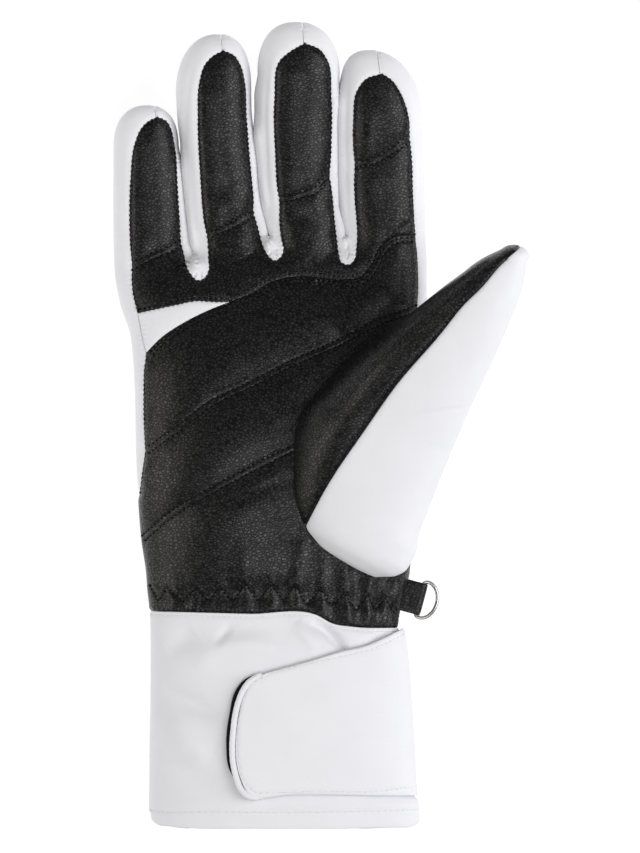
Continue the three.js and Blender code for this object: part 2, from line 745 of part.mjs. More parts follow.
// Closure strap, the binding round its end and the hook pad under it, in layers over the cuff
function closure() {
  const under = cuffLayer(STRAP.gap, STRAP.rise);
  const over = cuffLayer(STRAP.gap + STRAP.thickness, STRAP.rise + STRAP.thickness);
  const boundUnder = cuffLayer(STRAP.gap, STRAP.rise - BINDING_EXTRA / 2);
  const boundTop = STRAP.thickness + BINDING_EXTRA;
  const boundOver = cuffLayer(STRAP.gap + boundTop, STRAP.rise + boundTop);
  const whole = prism(STRAP_OUTLINE, STRAP.floor, ABOVE_ALL);
  const strapArea = [...BINDING_INNER_EDGE, { x: FAR_RIGHT, y: FAR_DOWN }, { x: FAR_RIGHT, y: 0 }];
  const moved = BINDING_INNER_EDGE.map((point) => ({ x: point.x - GAP, y: point.y }));
  const bindingArea = [...moved, { x: FAR_LEFT, y: FAR_DOWN }, { x: FAR_LEFT, y: 0 }];
  const strapSide = prism(strapArea, 0, ABOVE_ALL);
  const bindingSide = prism(bindingArea, 0, ABOVE_ALL);
  const padUnder = cuffLayer(PAD.gap, PAD.gap);
  const padOver = cuffLayer(PAD.gap + PAD.thickness, PAD.gap + PAD.thickness);
  return {
    strap: pieces(over.subtract(under).intersect(whole).intersect(strapSide))[0],
    binding: pieces(boundOver.subtract(boundUnder).intersect(whole).intersect(bindingSide))[0],
    pad: pieces(padOver.subtract(padUnder).intersect(prism(PAD_OUTLINE, PALM_FLOOR, ABOVE_ALL)))[0],
  };
}

// The frame of the loop tab: x out of the wrist, y along the bar, z up
function tabFrame() {
  return new THREE.Matrix4().makeRotationZ(TAB_TURN).setPosition(BAR_CENTRE);
}

// A folded leather loop: an eye round the bar and two layers that run back to the wrist
function loopTab() {
  const profile = new THREE.Shape();
  const meet = Math.asin(TAB.halfThickness / TAB.eyeRadius);
  profile.moveTo(-TAB.length, -TAB.halfThickness);
  profile.lineTo(-TAB.eyeRadius * Math.cos(meet), -TAB.halfThickness);
  profile.absarc(0, 0, TAB.eyeRadius, Math.PI + meet, 3 * Math.PI - meet, false);
  profile.lineTo(-TAB.length, TAB.halfThickness);
  profile.lineTo(-TAB.length, -TAB.halfThickness);
  const eye = new THREE.Path();
  eye.absarc(0, 0, RING.wireRadius + GAP, 0, 2 * Math.PI, true);
  profile.holes.push(eye);
  const settings = { depth: TAB.width, bevelEnabled: false, curveSegments: TAB.curveSteps };
  const geometry = new THREE.ExtrudeGeometry(profile, settings);
  geometry.translate(0, 0, -TAB.width / 2).rotateX(Math.PI / 2);
  return pieces(toSolid(geometry.applyMatrix4(tabFrame())).subtract(handForm(GAP)))[0];
}

// Centre line of the ring: a straight bar, two small corners and half an ellipse
function ringPath() {
  const path = new THREE.Path();
  const corner = RING.cornerRadius;
  const barEnd = RING.halfHeight - corner;
  path.moveTo(0, -barEnd);
  path.lineTo(0, barEnd);
  path.absarc(corner, barEnd, corner, Math.PI, Math.PI / 2, true);
  path.absellipse(corner, 0, RING.depth - corner, RING.halfHeight, Math.PI / 2, -Math.PI / 2, true, 0);
  path.absarc(corner, -barEnd, corner, -Math.PI / 2, -Math.PI, true);
  return path;
}

// The ring's round wire, closed along its centre line
function wireRing() {
  const path = ringPath();
  const count = RING.steps;
  const centres = path.getSpacedPoints(count).slice(0, count);
  const positions = [];
  const index = [];
  centres.forEach((centre, i) => {
    const before = centres[(i + count - 1) % count];
    const after = centres[(i + 1) % count];
    const along = after.clone().sub(before).normalize();
    const outward = new THREE.Vector3(-along.y, along.x, 0);
    for (let k = 0; k < RING.wireSides; k += 1) {
      const angle = (2 * Math.PI * k) / RING.wireSides;
      const point = outward.clone().multiplyScalar(RING.wireRadius * Math.cos(angle));
      point.z = RING.wireRadius * Math.sin(angle);
      positions.push(point.add(new THREE.Vector3(centre.x, centre.y, 0)));
      const next = ((i + 1) % count) * RING.wireSides;
      const a = i * RING.wireSides + k;
      const b = i * RING.wireSides + ((k + 1) % RING.wireSides);
      const c = next + ((k + 1) % RING.wireSides);
      index.push(a, b, c, a, c, next + k);
    }
  });
  const geometry = new THREE.BufferGeometry().setFromPoints(positions);
  geometry.setIndex(index);
  return toSolid(geometry.applyMatrix4(tabFrame()));
}

const hand = handPanels();
const thumb = thumbPanels();
const strap = closure();
const [littleSide, insert, littleRing, ringMiddle, middleIndex, indexSide] = hand.sides;

const glove = new THREE.Group();
const addPiece = (name, solid, material) => {
  const mesh = new THREE.Mesh(toGeometry(solid), material);
  mesh.name = name;
  glove.add(mesh);
};

addPiece('back_panel', hand.back, WHITE_CLOTH);
addPiece('side_strip_little', littleSide, WHITE_CLOTH);
addPiece('fourchette_little_ring', littleRing, WHITE_CLOTH);
addPiece('fourchette_ring_middle', ringMiddle, WHITE_CLOTH);
addPiece('fourchette_middle_index', middleIndex, WHITE_CLOTH);
addPiece('side_strip_index', indexSide, WHITE_CLOTH);
addPiece('side_insert', insert, WHITE_CLOTH);
addPiece('upper_palm_leather', hand.upperLeather, BLACK_LEATHER);
addPiece('lower_palm_leather', hand.lowerLeather, BLACK_LEATHER);
addPiece('thumb_shell', thumb.shell, WHITE_CLOTH);
addPiece('thumb_leather', thumb.leather, BLACK_LEATHER);
addPiece('cuff', cuffPanel(), WHITE_CLOTH);
addPiece('closure_strap', strap.strap, WHITE_CLOTH);
addPiece('strap_binding', strap.binding, WHITE_CLOTH);
addPiece('hook_pad', strap.pad, HOOK_TAPE);
addPiece('loop_tab', loopTab(), BLACK_LEATHER);
addPiece('d_ring', wireRing(), BRIGHT_METAL);

// The glove's origin is on the floor, under the middle of its outline
const middle = new THREE.Box3().setFromObject(glove).getCenter(new THREE.Vector3());
glove.position.set(-middle.x, -middle.y, 0);

export default glove;
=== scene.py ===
# %% [markdown]
# A padded winter sport glove for the right hand
#
# The glove lies on its back on a pale floor and the camera looks straight down at its palm. Real gloves
# are cut flat, sewn and padded, so nothing on them is a plain box: every panel is crowned, dips into its
# seams and is pulled in by its stitches. This lesson builds each panel that way. It first lofts smooth
# blanks of the hand, the thumb and the cuff, then cuts them along the glove maker's outlines, sinks the
# seams, and sews the threads on with Geometry Nodes.

import json
import math

import bmesh
import bpy
import numpy as np
from mathutils import Matrix, Vector
from mathutils.bvhtree import BVHTree
from mathutils.kdtree import KDTree

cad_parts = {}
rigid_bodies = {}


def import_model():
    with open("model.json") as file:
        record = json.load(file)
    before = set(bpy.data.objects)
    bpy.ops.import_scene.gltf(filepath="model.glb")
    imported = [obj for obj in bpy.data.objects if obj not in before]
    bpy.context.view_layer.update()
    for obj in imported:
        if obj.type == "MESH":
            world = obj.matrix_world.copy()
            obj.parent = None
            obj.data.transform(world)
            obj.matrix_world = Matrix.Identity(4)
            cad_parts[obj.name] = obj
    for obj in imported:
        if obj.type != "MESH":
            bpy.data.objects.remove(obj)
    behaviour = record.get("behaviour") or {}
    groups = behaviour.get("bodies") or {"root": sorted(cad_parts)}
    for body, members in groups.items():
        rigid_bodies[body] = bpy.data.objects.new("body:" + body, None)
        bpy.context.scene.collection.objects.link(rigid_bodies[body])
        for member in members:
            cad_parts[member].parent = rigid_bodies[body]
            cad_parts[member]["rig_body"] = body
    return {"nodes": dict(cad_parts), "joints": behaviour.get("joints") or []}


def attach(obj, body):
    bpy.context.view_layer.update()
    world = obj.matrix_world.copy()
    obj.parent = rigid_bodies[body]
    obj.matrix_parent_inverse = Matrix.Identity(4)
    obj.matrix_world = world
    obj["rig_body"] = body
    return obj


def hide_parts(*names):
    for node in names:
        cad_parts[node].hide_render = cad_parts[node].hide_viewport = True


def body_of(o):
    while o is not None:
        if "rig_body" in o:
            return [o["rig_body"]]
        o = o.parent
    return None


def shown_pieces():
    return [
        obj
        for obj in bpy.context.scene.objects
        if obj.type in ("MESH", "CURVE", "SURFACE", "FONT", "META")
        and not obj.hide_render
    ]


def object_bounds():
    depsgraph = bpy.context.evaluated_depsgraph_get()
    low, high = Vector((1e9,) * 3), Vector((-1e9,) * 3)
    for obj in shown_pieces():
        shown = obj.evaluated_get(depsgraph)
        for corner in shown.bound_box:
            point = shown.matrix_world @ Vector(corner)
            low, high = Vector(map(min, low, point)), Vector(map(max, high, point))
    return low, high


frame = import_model()
cad_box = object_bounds()
ring_joint = frame["joints"][0]
print("frame:", len(frame["nodes"]), "nodes, size in mm",
      [round(1000 * (high - low)) for low, high in zip(*cad_box)])

# %% [markdown]
# The pattern is drawn in millimetres round the middle of the glove, as a glove maker would draw it. The
# hinge of the metal ring is a point that the pattern and the frame share, so it gives the shift between
# them. All cutting is done in millimetres, and a finished piece is scaled to metres as the last thing.

# %% Units and the shift from the pattern to the frame
MM = 0.001
BAR_CENTRE = Vector((34.4, -59.9, 18.5))
SHIFT = Vector(ring_joint["pos_m"]) / MM - BAR_CENTRE
GLOVE_BODY = ring_joint["parent"]
RING_BODY = ring_joint["child"]
print("pattern to frame, mm:", [round(value, 3) for value in SHIFT])

# %% [markdown]
# The forms are described as a sail or a boat hull is: by a few sections. Each row is a station along the
# hand with its left and right edge, its underside and its top. A section is a superellipse, which is fuller
# than an ellipse, as a padded tube is, and it is pressed flat where it meets the floor.

# %% Sections of the hand, the fingers, the thumb and the cuff
ROW = ("y", "left", "right", "under", "over")
HAND = [
    (-74, -58.6, 27.6, 1.5, 37),
    (-68, -58.8, 27.2, 2, 36.5),
    (-63, -59.2, 27.8, 2, 36),
    (-57, -59.9, 29.6, 1.2, 36),
    (-50.5, -60.4, 31.2, 0, 36.5),
    (-39.5, -62, 31.9, -1.5, 38),
    (-25.5, -63.1, 32.2, -2.5, 40),
    (-8, -63.8, 33.3, -3, 40.5),
    (9, -64.1, 34.7, -3, 39.5),
    (30, -65.5, 36.4, -3, 36),
    (43.5, -69.6, 37.1, -2.5, 32),
    (54.5, -71.2, 37, 0, 28),
    (56.5, -46, 37, 0, 27.5),
    (62, -43, 36.5, 3, 25),
    (65, -39, 35.5, 8, 20),
]
FINGERS = {
    "little": {
        "tip": (-60, 111.2, 19),
        "rows": [
            (42, -68.5, -44, 1, 24),
            (56, -71.4, -43.2, 0.5, 24),
            (64, -71.6, -45.3, 0.5, 24),
            (78, -71.7, -47.2, 2, 25),
            (97, -71.6, -49, 5, 27),
        ],
    },
    "ring": {
        "tip": (-35.5, 135.8, 22),
        "rows": [
            (42, -41.5, -17, 0, 26.5),
            (56, -42.4, -16.8, 0, 26.5),
            (64, -44.5, -17.9, 0.5, 26.5),
            (78, -46.4, -20.8, 1.5, 27),
            (92, -47.8, -22.3, 3, 28.5),
            (104, -49.2, -23.5, 5.5, 30),
            (115, -50, -23.7, 7.5, 31.5),
        ],
    },
    "middle": {
        "tip": (-8.2, 140, 24.5),
        "rows": [
            (42, -15.8, 8, 0, 27.5),
            (56, -16, 8.4, 0, 27.5),
            (65, -17.2, 8.4, 0.5, 27.5),
            (78, -20, 6.4, 1.5, 28),
            (92, -21.5, 5.7, 3, 29.5),
            (104, -22.7, 5.8, 5.5, 31),
            (114, -22.8, 6.5, 7.5, 32.5),
            (122, -21.6, 6.8, 9.5, 34),
        ],
    },
    "index": {
        "tip": (17, 130.3, 22),
        "rows": [
            (42, 10, 36.8, 0, 27.5),
            (56, 9.6, 37.1, 0, 27.5),
            (65, 9.2, 36.7, 0.5, 27.5),
            (78, 7.2, 36.4, 1.5, 28),
            (92, 6.5, 35.9, 3.5, 29.5),
            (108, 6.6, 35.2, 6.5, 32),
        ],
    },
}
THUMB = [
    (-4.4, -14, 12.8, 21, 40.5),
    (-1, -21, 18, 15, 45.5),
    (3, -25.5, 20.2, 10.5, 48),
    (8, -29.5, 20.3, 7.5, 49.7),
    (16, -34, 17.9, 5, 52),
    (25, -38, 16.7, 5, 54.5),
    (33, -38.8, 15.6, 7, 56.5),
    (43, -36, 14.5, 10.5, 59),
    (60, -30.5, 12.8, 21, 64.5),
    (84, -19.1, 11.2, 35, 71),
    (98.5, -13.1, 9.8, 43, 74.5),
    (109, -8.6, 7.9, 48, 75),
    (115.5, -4.2, 5.4, 53.5, 73),
]
CUFF = [
    (-140, -59.4, 34.6, -2, 41.5),
    (-130, -59.3, 34.2, -2, 41.5),
    (-127, -59.2, 31.8, -2, 41),
    (-112, -59.1, 31, -2, 40.5),
    (-95, -58.8, 29.9, -1.5, 39.5),
    (-78, -58.7, 28.5, -1, 38.5),
    (-70, -58.8, 27.4, 1, 37.2),
    (-66, -58.9, 28.2, 1.2, 36.8),
    (-60, -59.2, 28.2, 1.5, 36.5),
]
THUMB_HEEL = Vector((11.1, -42.3, 0))
THUMB_TURN = math.radians(-28.6)
THUMB_START = Vector((0, -6.2, 29))
THUMB_TIP = Vector((1.8, 119.4, 64))
THUMB_FRAME = Matrix.Translation(THUMB_HEEL) @ Matrix.Rotation(THUMB_TURN, 4, "Z")
ROUNDNESS = 0.84
WALL = 3
CUFF_WALL = 2.6
FLOOR = 0
print("stations:", len(HAND), "of the hand,", len(THUMB), "of the thumb,", len(CUFF), "of the cuff")

# %% [markdown]
# A monotone cubic runs through the rows, so a few of them give a smooth form with no waves between them.
# The same cubic with other tangents draws the outlines of the panels further down.

# %% A cubic through a few rows
def cubic(knots, step, values, tangent, at):
    """Values at the places in at, on a cubic through values at knots that lie a step apart."""
    row = np.clip(np.searchsorted(knots, at, side="right") - 1, 0, len(step) - 1)
    step = step[row, None]
    share = (at - knots[row])[:, None] / step
    one, two = share**2 * (3 - 2 * share), share * (1 - share)
    curve = values[row] * (1 - one) + values[row + 1] * one
    return curve + step * two * (tangent[row] * (1 - share) - tangent[row + 1] * share)


def through_rows(rows, at):
    """Values of every column at the stations in at, on a monotone cubic through the rows."""
    rows = np.array(rows, float)
    y, values = rows[:, 0], rows[:, 1:]
    step = np.diff(y)[:, None]
    slope = np.diff(values, axis=0) / step
    before, after = slope[:-1], slope[1:]
    weight = 2 * step[1:] + step[:-1], step[1:] + 2 * step[:-1]
    with np.errstate(divide="ignore", invalid="ignore"):
        harmonic = (weight[0] + weight[1]) / (weight[0] / before + weight[1] / after)
    tangent = np.vstack([slope[:1], np.where(before * after > 0, harmonic, 0), slope[-1:]])
    return cubic(y, step[:, 0], values, tangent, at)


WRIST = -63.0
print("hand at the wrist:", dict(zip(ROW[1:], through_rows(HAND, np.array([WRIST]))[0].round(1))))

# %% [markdown]
# Rings of points round the sections make a loft. The palm side is what the camera sees and what carries
# the seams, so it gets points twice as close as the back.

# %% Rings and lofts
OUTLINE_STEPS = 360
BACK = {"below": -0.35, "weight": 0.45}


def section_rings(stations, sizes, sides, grow, floor):
    """Rings of a superellipse with even spacing, closer on the palm side; an array of x, y, z."""
    angle = np.linspace(0, 2 * np.pi, OUTLINE_STEPS + 1)
    across, up = (np.sign(value) * np.abs(value) ** ROUNDNESS for value in (np.cos(angle), np.sin(angle)))
    weight = np.where(up[1:] > BACK["below"], 1, BACK["weight"])
    rings = np.empty((len(stations), sides, 3))
    for ring, y, (left, right, under, over) in zip(rings, stations, sizes):
        x = (left + right) / 2 + ((right - left) / 2 + grow) * across
        z = np.maximum((under + over) / 2 + ((over - under) / 2 + grow) * up, floor)
        length = np.concatenate([[0], np.cumsum(np.hypot(np.diff(x), np.diff(z)) * weight)])
        wanted = np.arange(sides) * length[-1] / sides
        ring.T[:] = np.interp(wanted, length, x), np.full(sides, y), np.interp(wanted, length, z)
    return rings


def loft(rings):
    """Points and faces of a closed form through rings that follow each other along y."""
    count, sides = rings.shape[:2]
    here = np.arange(sides)
    after = (here + 1) % sides
    start = np.arange(count - 1)[:, None] * sides
    quads = np.stack([start + here, start + sides + here, start + sides + after, start + after], axis=-1)
    points = np.vstack([rings.reshape(-1, 3), rings[0].mean(axis=0), rings[-1].mean(axis=0)])
    first, last, top = len(points) - 2, len(points) - 1, (count - 1) * sides
    faces = quads.reshape(-1, 4).tolist()
    faces += [(first, a, b) for a, b in zip(here, after)]
    faces += [(last, top + b, top + a) for a, b in zip(here, after)]
    return points, faces


print("points round a section's outline:", OUTLINE_STEPS)

# %% [markdown]
# Every form is a Blender mesh whose points NumPy moves. These helpers make an object, read and write its
# points, count its faces, and join or cut two closed forms.

# %% Objects, their points and their cuts
def link(name, data):
    """A new object in the scene for a mesh, a lamp or a camera."""
    made = bpy.data.objects.new(name, data)
    bpy.context.scene.collection.objects.link(made)
    return made


def new_object(name, points, faces):
    mesh = bpy.data.meshes.new(name)
    mesh.from_pydata(np.asarray(points).tolist(), [], [tuple(int(i) for i in face) for face in faces])
    mesh.validate()
    return link(name, mesh)


def copy_of(made):
    return link("copy", made.data.copy())


def remove(*objects):
    for made in objects:
        mesh = made.data
        bpy.data.objects.remove(made)
        bpy.data.meshes.remove(mesh)


def get_points(made, field="co"):
    """The points of a mesh, or their normals, as an array of x, y, z."""
    values = np.empty(len(made.data.vertices) * 3)
    made.data.vertices.foreach_get(field, values)
    return values.reshape(-1, 3)


def set_points(made, points):
    made.data.vertices.foreach_set("co", np.ascontiguousarray(points, dtype=np.float32).ravel())
    made.data.update()


def face_counts(*objects):
    return [len(made.data.polygons) for made in objects]


def apply_modifiers(made):
    """The object keeps the mesh that its modifiers make, and loses the modifiers."""
    bpy.context.view_layer.update()
    shown = made.evaluated_get(bpy.context.evaluated_depsgraph_get())
    old = made.data
    made.data = bpy.data.meshes.new_from_object(shown)
    made.modifiers.clear()
    bpy.data.meshes.remove(old)


def combine(target, tool, operation="INTERSECT"):
    """Joins or cuts closed meshes; the tool is used up."""
    change = target.modifiers.new("combine", "BOOLEAN")
    change.operation = operation
    change.solver = "MANIFOLD"
    change.object = tool
    apply_modifiers(target)
    remove(tool)
    return target


def cut(source, tool, operation="INTERSECT"):
    """A cut copy of a mesh that stays whole itself."""
    return combine(copy_of(source), tool, operation)


# %% [markdown]
# A round fingertip follows a superellipse as well: its width shrinks slowly and then all at once. The
# rings crowd together near the end, so that the tip has no facets.

# %% Closed blanks of the hand and the thumb
TIP_POWER = 2.3
LAST_RING = 0.0004
FINE = {"step": 0.75, "hand": 250, "finger": 104, "thumb": 150, "cuff": 210, "tip": 22}
COARSE = {"step": 6, "hand": 44, "finger": 20, "thumb": 24, "tip": 6}


def table_rings(rows, sides, step, grow, floor):
    """Rings through a table of sections, about one step apart."""
    first, last = rows[0][0], rows[-1][0]
    stations = np.linspace(first, last, max(2, int(round((last - first) / step)) + 1))
    return section_rings(stations, through_rows(rows, stations), sides, grow, floor)


def finger_rings(finger, detail, grow, floor):
    """Rings from inside the hand to the tip; the tip's rings shrink towards its last point."""
    body = table_rings(finger["rows"], detail["finger"], detail["step"], grow, floor)
    y, left, right, under, over = finger["rows"][-1]
    tip_x, tip_y, tip_z = finger["tip"]
    share = np.sin(np.linspace(0, np.pi / 2, detail["tip"] + 1)[1:-1])
    width = (1 - share**TIP_POWER) ** (1 / TIP_POWER)
    middle_x = (left + right) / 2 * (1 - share**2) + tip_x * share**2
    middle_z = (under + over) / 2 * (1 - share**2) + tip_z * share**2
    half_x = ((right - left) / 2 + grow) * width - grow
    half_z = ((over - under) / 2 + grow) * width - grow
    sizes = np.stack([middle_x - half_x, middle_x + half_x, middle_z - half_z, middle_z + half_z], axis=1)
    stations = y + (tip_y + grow - y) * share
    return np.vstack([body, section_rings(stations, sizes, detail["finger"], grow, floor)])


def rounded_end(rings, end, count):
    """Rings that close the last ring onto a point in an even curve."""
    share = np.sin(np.linspace(0, np.pi / 2, count + 1)[1:])[:, None, None]
    width = np.sqrt(np.maximum(1 - share**2, LAST_RING))
    last = rings[-1]
    middle = last.mean(axis=0)
    return (last - middle) * width + middle + (np.array(end) - middle) * share


def thumb_object(detail, grow):
    """The thumb in its own frame, closed at both ends, then turned to its place on the hand."""
    rings = table_rings(THUMB, detail["thumb"], detail["step"], grow, FLOOR)
    tip = rounded_end(rings, THUMB_TIP + Vector((0, grow, 0)), detail["tip"] // 2)
    heel = rounded_end(rings[::-1], THUMB_START - Vector((0, grow, 0)), detail["tip"] // 2)[::-1]
    made = new_object("thumb", *loft(np.vstack([heel, rings, tip])))
    made.data.transform(THUMB_FRAME)
    return made


def hand_object(detail, grow, rows=HAND):
    made = new_object("hand", *loft(table_rings(rows, detail["hand"], detail["step"], grow, -grow)))
    for finger in FINGERS.values():
        combine(made, new_object("finger", *loft(finger_rings(finger, detail, grow, -grow))), "UNION")
    return made


hand_blank = hand_object(FINE, 0)
thumb_blank = thumb_object(FINE, 0)
print("faces of the hand and the thumb:", face_counts(hand_blank, thumb_blank))

# %% [markdown]
# Where the fingers grow out of the hand, a sewn glove has no crease: the same leather runs over both. The
# union leaves a sharp line there, so the points round it are relaxed towards their neighbours, most at the
# knuckles and less and less away from them. Only faces that look up are relaxed, and the deep gaps
# between the fingers stay as they are.

# %% Relax the roots of the fingers
ROOTS = {"start": 44, "full": 52, "fade": 66, "end": 74, "facing": (0.2, 0.6), "amount": 0.7, "rounds": 60}


def fade(value, start, end):
    """0 before start, 1 after end, smooth between; start may be larger than end."""
    share = np.clip((value - start) / (end - start), 0, 1)
    return share * share * (3 - 2 * share)


def relax(made, amount, rounds):
    """Moves each point towards the mean of its neighbours by its own amount, in several rounds."""
    edges = np.empty(len(made.data.edges) * 2, np.int32)
    made.data.edges.foreach_get("vertices", edges)
    one, two = edges[0::2], edges[1::2]
    points = get_points(made)
    size = len(points)
    count = np.bincount(edges, minlength=size)[:, None]
    for _ in range(rounds):
        total = np.stack([np.bincount(one, column[two], size) + np.bincount(two, column[one], size)
                          for column in points.T], axis=1)
        points += (total / np.maximum(count, 1) - points) * amount[:, None]
    set_points(made, points)


along_hand = get_points(hand_blank)[:, 1]
near_roots = fade(along_hand, ROOTS["start"], ROOTS["full"]) * fade(along_hand, ROOTS["end"], ROOTS["fade"])
facing_up = fade(get_points(hand_blank, "normal")[:, 2], *ROOTS["facing"])
relax(hand_blank, ROOTS["amount"] * near_roots * facing_up, ROOTS["rounds"])
print("points near the roots:", int((near_roots > 0).sum()))

# %% [markdown]
# The blanks become walls: a rougher copy of the same form, one wall thickness further in, is cut out of
# each. Nobody looks closely at the inside of a glove, so the hollow has few faces.

# %% Hollow out the hand and the thumb
HOLLOW_END = (52.5, -69.6, 37.1, -2.5, 28.5)
hollow_rows = [row for row in HAND if row[0] < HOLLOW_END[0]]
hollow_rows = [(hollow_rows[0][0] - WALL, *hollow_rows[0][1:]), *hollow_rows, HOLLOW_END]
hand_wall = cut(hand_blank, hand_object(COARSE, -WALL, hollow_rows), "DIFFERENCE")
combine(hand_wall, thumb_object(COARSE, -WALL), "DIFFERENCE")
thumb_wall = cut(thumb_blank, thumb_object(COARSE, -WALL), "DIFFERENCE")
combine(thumb_wall, copy_of(hand_blank), "DIFFERENCE")
print("faces of the walls:", face_counts(hand_wall, thumb_wall))

# %% [markdown]
# The panels are cut out of the walls with upright prisms, as a die cuts leather. The tables below are the
# maker's outlines: a few points for each finger, the seam across the palm, the edge of the wrist and so
# on. Seen from the side, one more line divides the back from the rest.

# %% Outlines of the panels
FINGER_LEATHER = {
    "little": {
        "point": (-56.1, 107.2),
        "seam_top": (-57.5, 114),
        "rows": [(105.7, -59.2, -52.8), (103, -61.9, -51.2), (98, -64.1, -50.1), (85, -65.8, -49.2),
                 (71, -66.2, -48.2), (57.5, -65.8, -46.4)],
    },
    "ring": {
        "point": (-33.3, 130.1),
        "seam_top": (-34.5, 138),
        "rows": [(128.2, -36.9, -29.3), (125, -39.9, -27.2), (119, -41.8, -25.6), (107, -42.4, -25),
                 (85, -41.6, -23.2), (64.5, -39.8, -20.1)],
    },
    "middle": {
        "point": (-5.2, 132.5),
        "seam_top": (-6.3, 142),
        "rows": [(130, -9.6, 0.5), (126.5, -13.9, 2.9), (113, -15.9, 4.3), (92, -15.6, 4.2),
                 (78, -14.9, 4.9), (64.5, -13.5, 6.2)],
    },
    "index": {
        "point": (21.5, 122),
        "seam_top": (19.3, 133),
        "rows": [(120, 15.8, 24.6), (115.5, 12.5, 27.9), (106, 11.4, 31.2), (92, 11.4, 32.2),
                 (78, 11.8, 32.6), (68, 12.5, 33.4)],
    },
}
CROTCHES = [
    [(-46.3, 55.5), (-45, 52.9), (-42.4, 50.6), (-40.3, 51.2), (-38.6, 53.8), (-38.9, 58.8)],
    [(-19.4, 61.5), (-17.9, 59), (-15.9, 57.5), (-13.9, 58.4), (-12.7, 61.8)],
    [(6.5, 59.5), (7.2, 57), (8.6, 56.1), (10.4, 56.1), (11.9, 57.6), (12.5, 62)],
]
PALM_SEAM = [(33.6, 66.5), (24.6, 65.1), (20.3, 61), (17.7, 55.4), (14.1, 51.6), (8, 50.8), (-5.7, 52),
             (-16.3, 50.2), (-24.3, 45.7), (-30.8, 43.3)]
UPPER_INSERT_EDGE = [(-30.8, 43.3), (-37.5, 43.3), (-43, 43.5), (-50, 42.1), (-63.3, 39.2)]
UPPER_LEFT_EDGE = [(-63.3, 39.2), (-64.6, 43.7), (-65.6, 50.6)]
LOWER_INSERT_EDGE = [(-30.8, 43.3), (-38.1, 40.5), (-46.1, 36.5), (-56.1, 29.8), (-60.6, 25.3)]
LOWER_LEFT_EDGE = [(-60.6, 25.3), (-61.1, 21), (-61.4, 10), (-61.4, -10), (-62.2, -18), (-63, -24)]
LOWER_RIGHT_EDGE = [(31.5, -20), (31, -8), (31.5, 10), (33.6, 30), (34.3, 45), (33.6, 66.5)]
WRIST_SEAM = [(-80, -64), (-58.9, -64.1), (-24.3, -64.8), (-1, -65.3), (4.5, -68.2), (11, -69.3), (27, -69.8),
              (60, -69.8)]
BACK_SEAM = [(-90, 18), (-24, 18), (0, 13), (35, 9), (80, 9), (105, 12.5), (125, 16.5), (150, 17.8)]
print("outline tables:", len(FINGER_LEATHER), "fingers,", len(CROTCHES), "crotches")

# %% [markdown]
# A smooth curve runs through each stretch between two real corners. An edge seam is pulled in by each of
# its stitches, so its line gets small bows between them.

# %% Smooth lines through the outlines
LINE_STEP = 0.3
SCALLOP = {"pitch": 1.7, "depth": 0.28, "middle": 0.6}
LEFT_OF_ALL, RIGHT_OF_ALL = -80, 60
LEFT_CORNER, RIGHT_CORNER = (LEFT_OF_ALL, -24), (RIGHT_OF_ALL, -30)


def smooth_line(points, spacing=LINE_STEP):
    """A curve through points, with a point every so many millimetres."""
    points = np.array(points, float)
    steps = np.diff(points, axis=0)
    chord = np.linalg.norm(steps, axis=1)
    knots = np.concatenate([[0], np.cumsum(chord)])
    if len(points) > 2:
        tangent = np.gradient(points, knots, axis=0)
    else:
        tangent = np.tile(steps / chord, (2, 1))
    at = np.linspace(0, knots[-1], max(2, int(knots[-1] / spacing) + 1))
    return cubic(knots, chord, points, tangent, at)


def lengths_along(line):
    return np.concatenate([[0], np.cumsum(np.linalg.norm(np.diff(line, axis=0), axis=1))])


def sideways(line):
    """Unit directions to the right of a flat line as it runs."""
    along = np.gradient(line[:, :2], axis=0)
    along /= np.linalg.norm(along, axis=1)[:, None]
    return np.stack([along[:, 1], -along[:, 0]], axis=1)


def scalloped(line):
    """The line pulled in by each stitch of an edge seam, with small bows between the stitches."""
    bow = np.abs(np.sin(np.pi * lengths_along(line) / SCALLOP["pitch"]))
    return line + sideways(line) * ((bow - SCALLOP["middle"]) * SCALLOP["depth"])[:, None]


def leather_finger_lines():
    """Edges of the upper leather from its lower left corner to the index finger, split at the fingertips."""
    lines = []
    stretch = list(UPPER_LEFT_EDGE)
    for finger, crotch in zip(FINGER_LEATHER.values(), CROTCHES + [PALM_SEAM[:1]]):
        rows = finger["rows"]
        stretch += [(left, y) for y, left, right in reversed(rows)] + [finger["point"]]
        lines.append(scalloped(smooth_line(stretch)))
        stretch = [finger["point"]] + [(right, y) for y, left, right in rows] + crotch
    return [*lines, scalloped(smooth_line(stretch))]


finger_lines = leather_finger_lines()
upper_insert_edge = scalloped(smooth_line(UPPER_INSERT_EDGE))
lower_left_edge = scalloped(smooth_line(LOWER_LEFT_EDGE))
palm_seam, lower_insert_edge = smooth_line(PALM_SEAM), smooth_line(LOWER_INSERT_EDGE)
lower_right_edge, wrist_seam = smooth_line(LOWER_RIGHT_EDGE), smooth_line(WRIST_SEAM)
upper_outline = np.vstack([*finger_lines, palm_seam, upper_insert_edge])
lower_outline = np.vstack([palm_seam, lower_insert_edge, lower_left_edge, [LEFT_CORNER], wrist_seam,
                           [RIGHT_CORNER], lower_right_edge])
print("points of the leather outlines:", len(upper_outline), len(lower_outline))

# %% [markdown]
# A prism needs a clean outline: no point twice, and no crossings. Cutting one panel with the outline of
# its neighbour, grown by the width of a seam, leaves a fine gap between them, as in the frame.

# %% Prisms and cuts
SEAM_GAP = 0.14
HAIR = 0.02
PALM_FLOOR = 18
UNDER_FLOOR = -1
BELOW_ALL, ABOVE_ALL = -2, 120
BESIDE_ALL = 120
ON_SIDE = Matrix(((0, 0, 1, 0), (1, 0, 0, 0), (0, 1, 0, 0), (0, 0, 0, 1)))


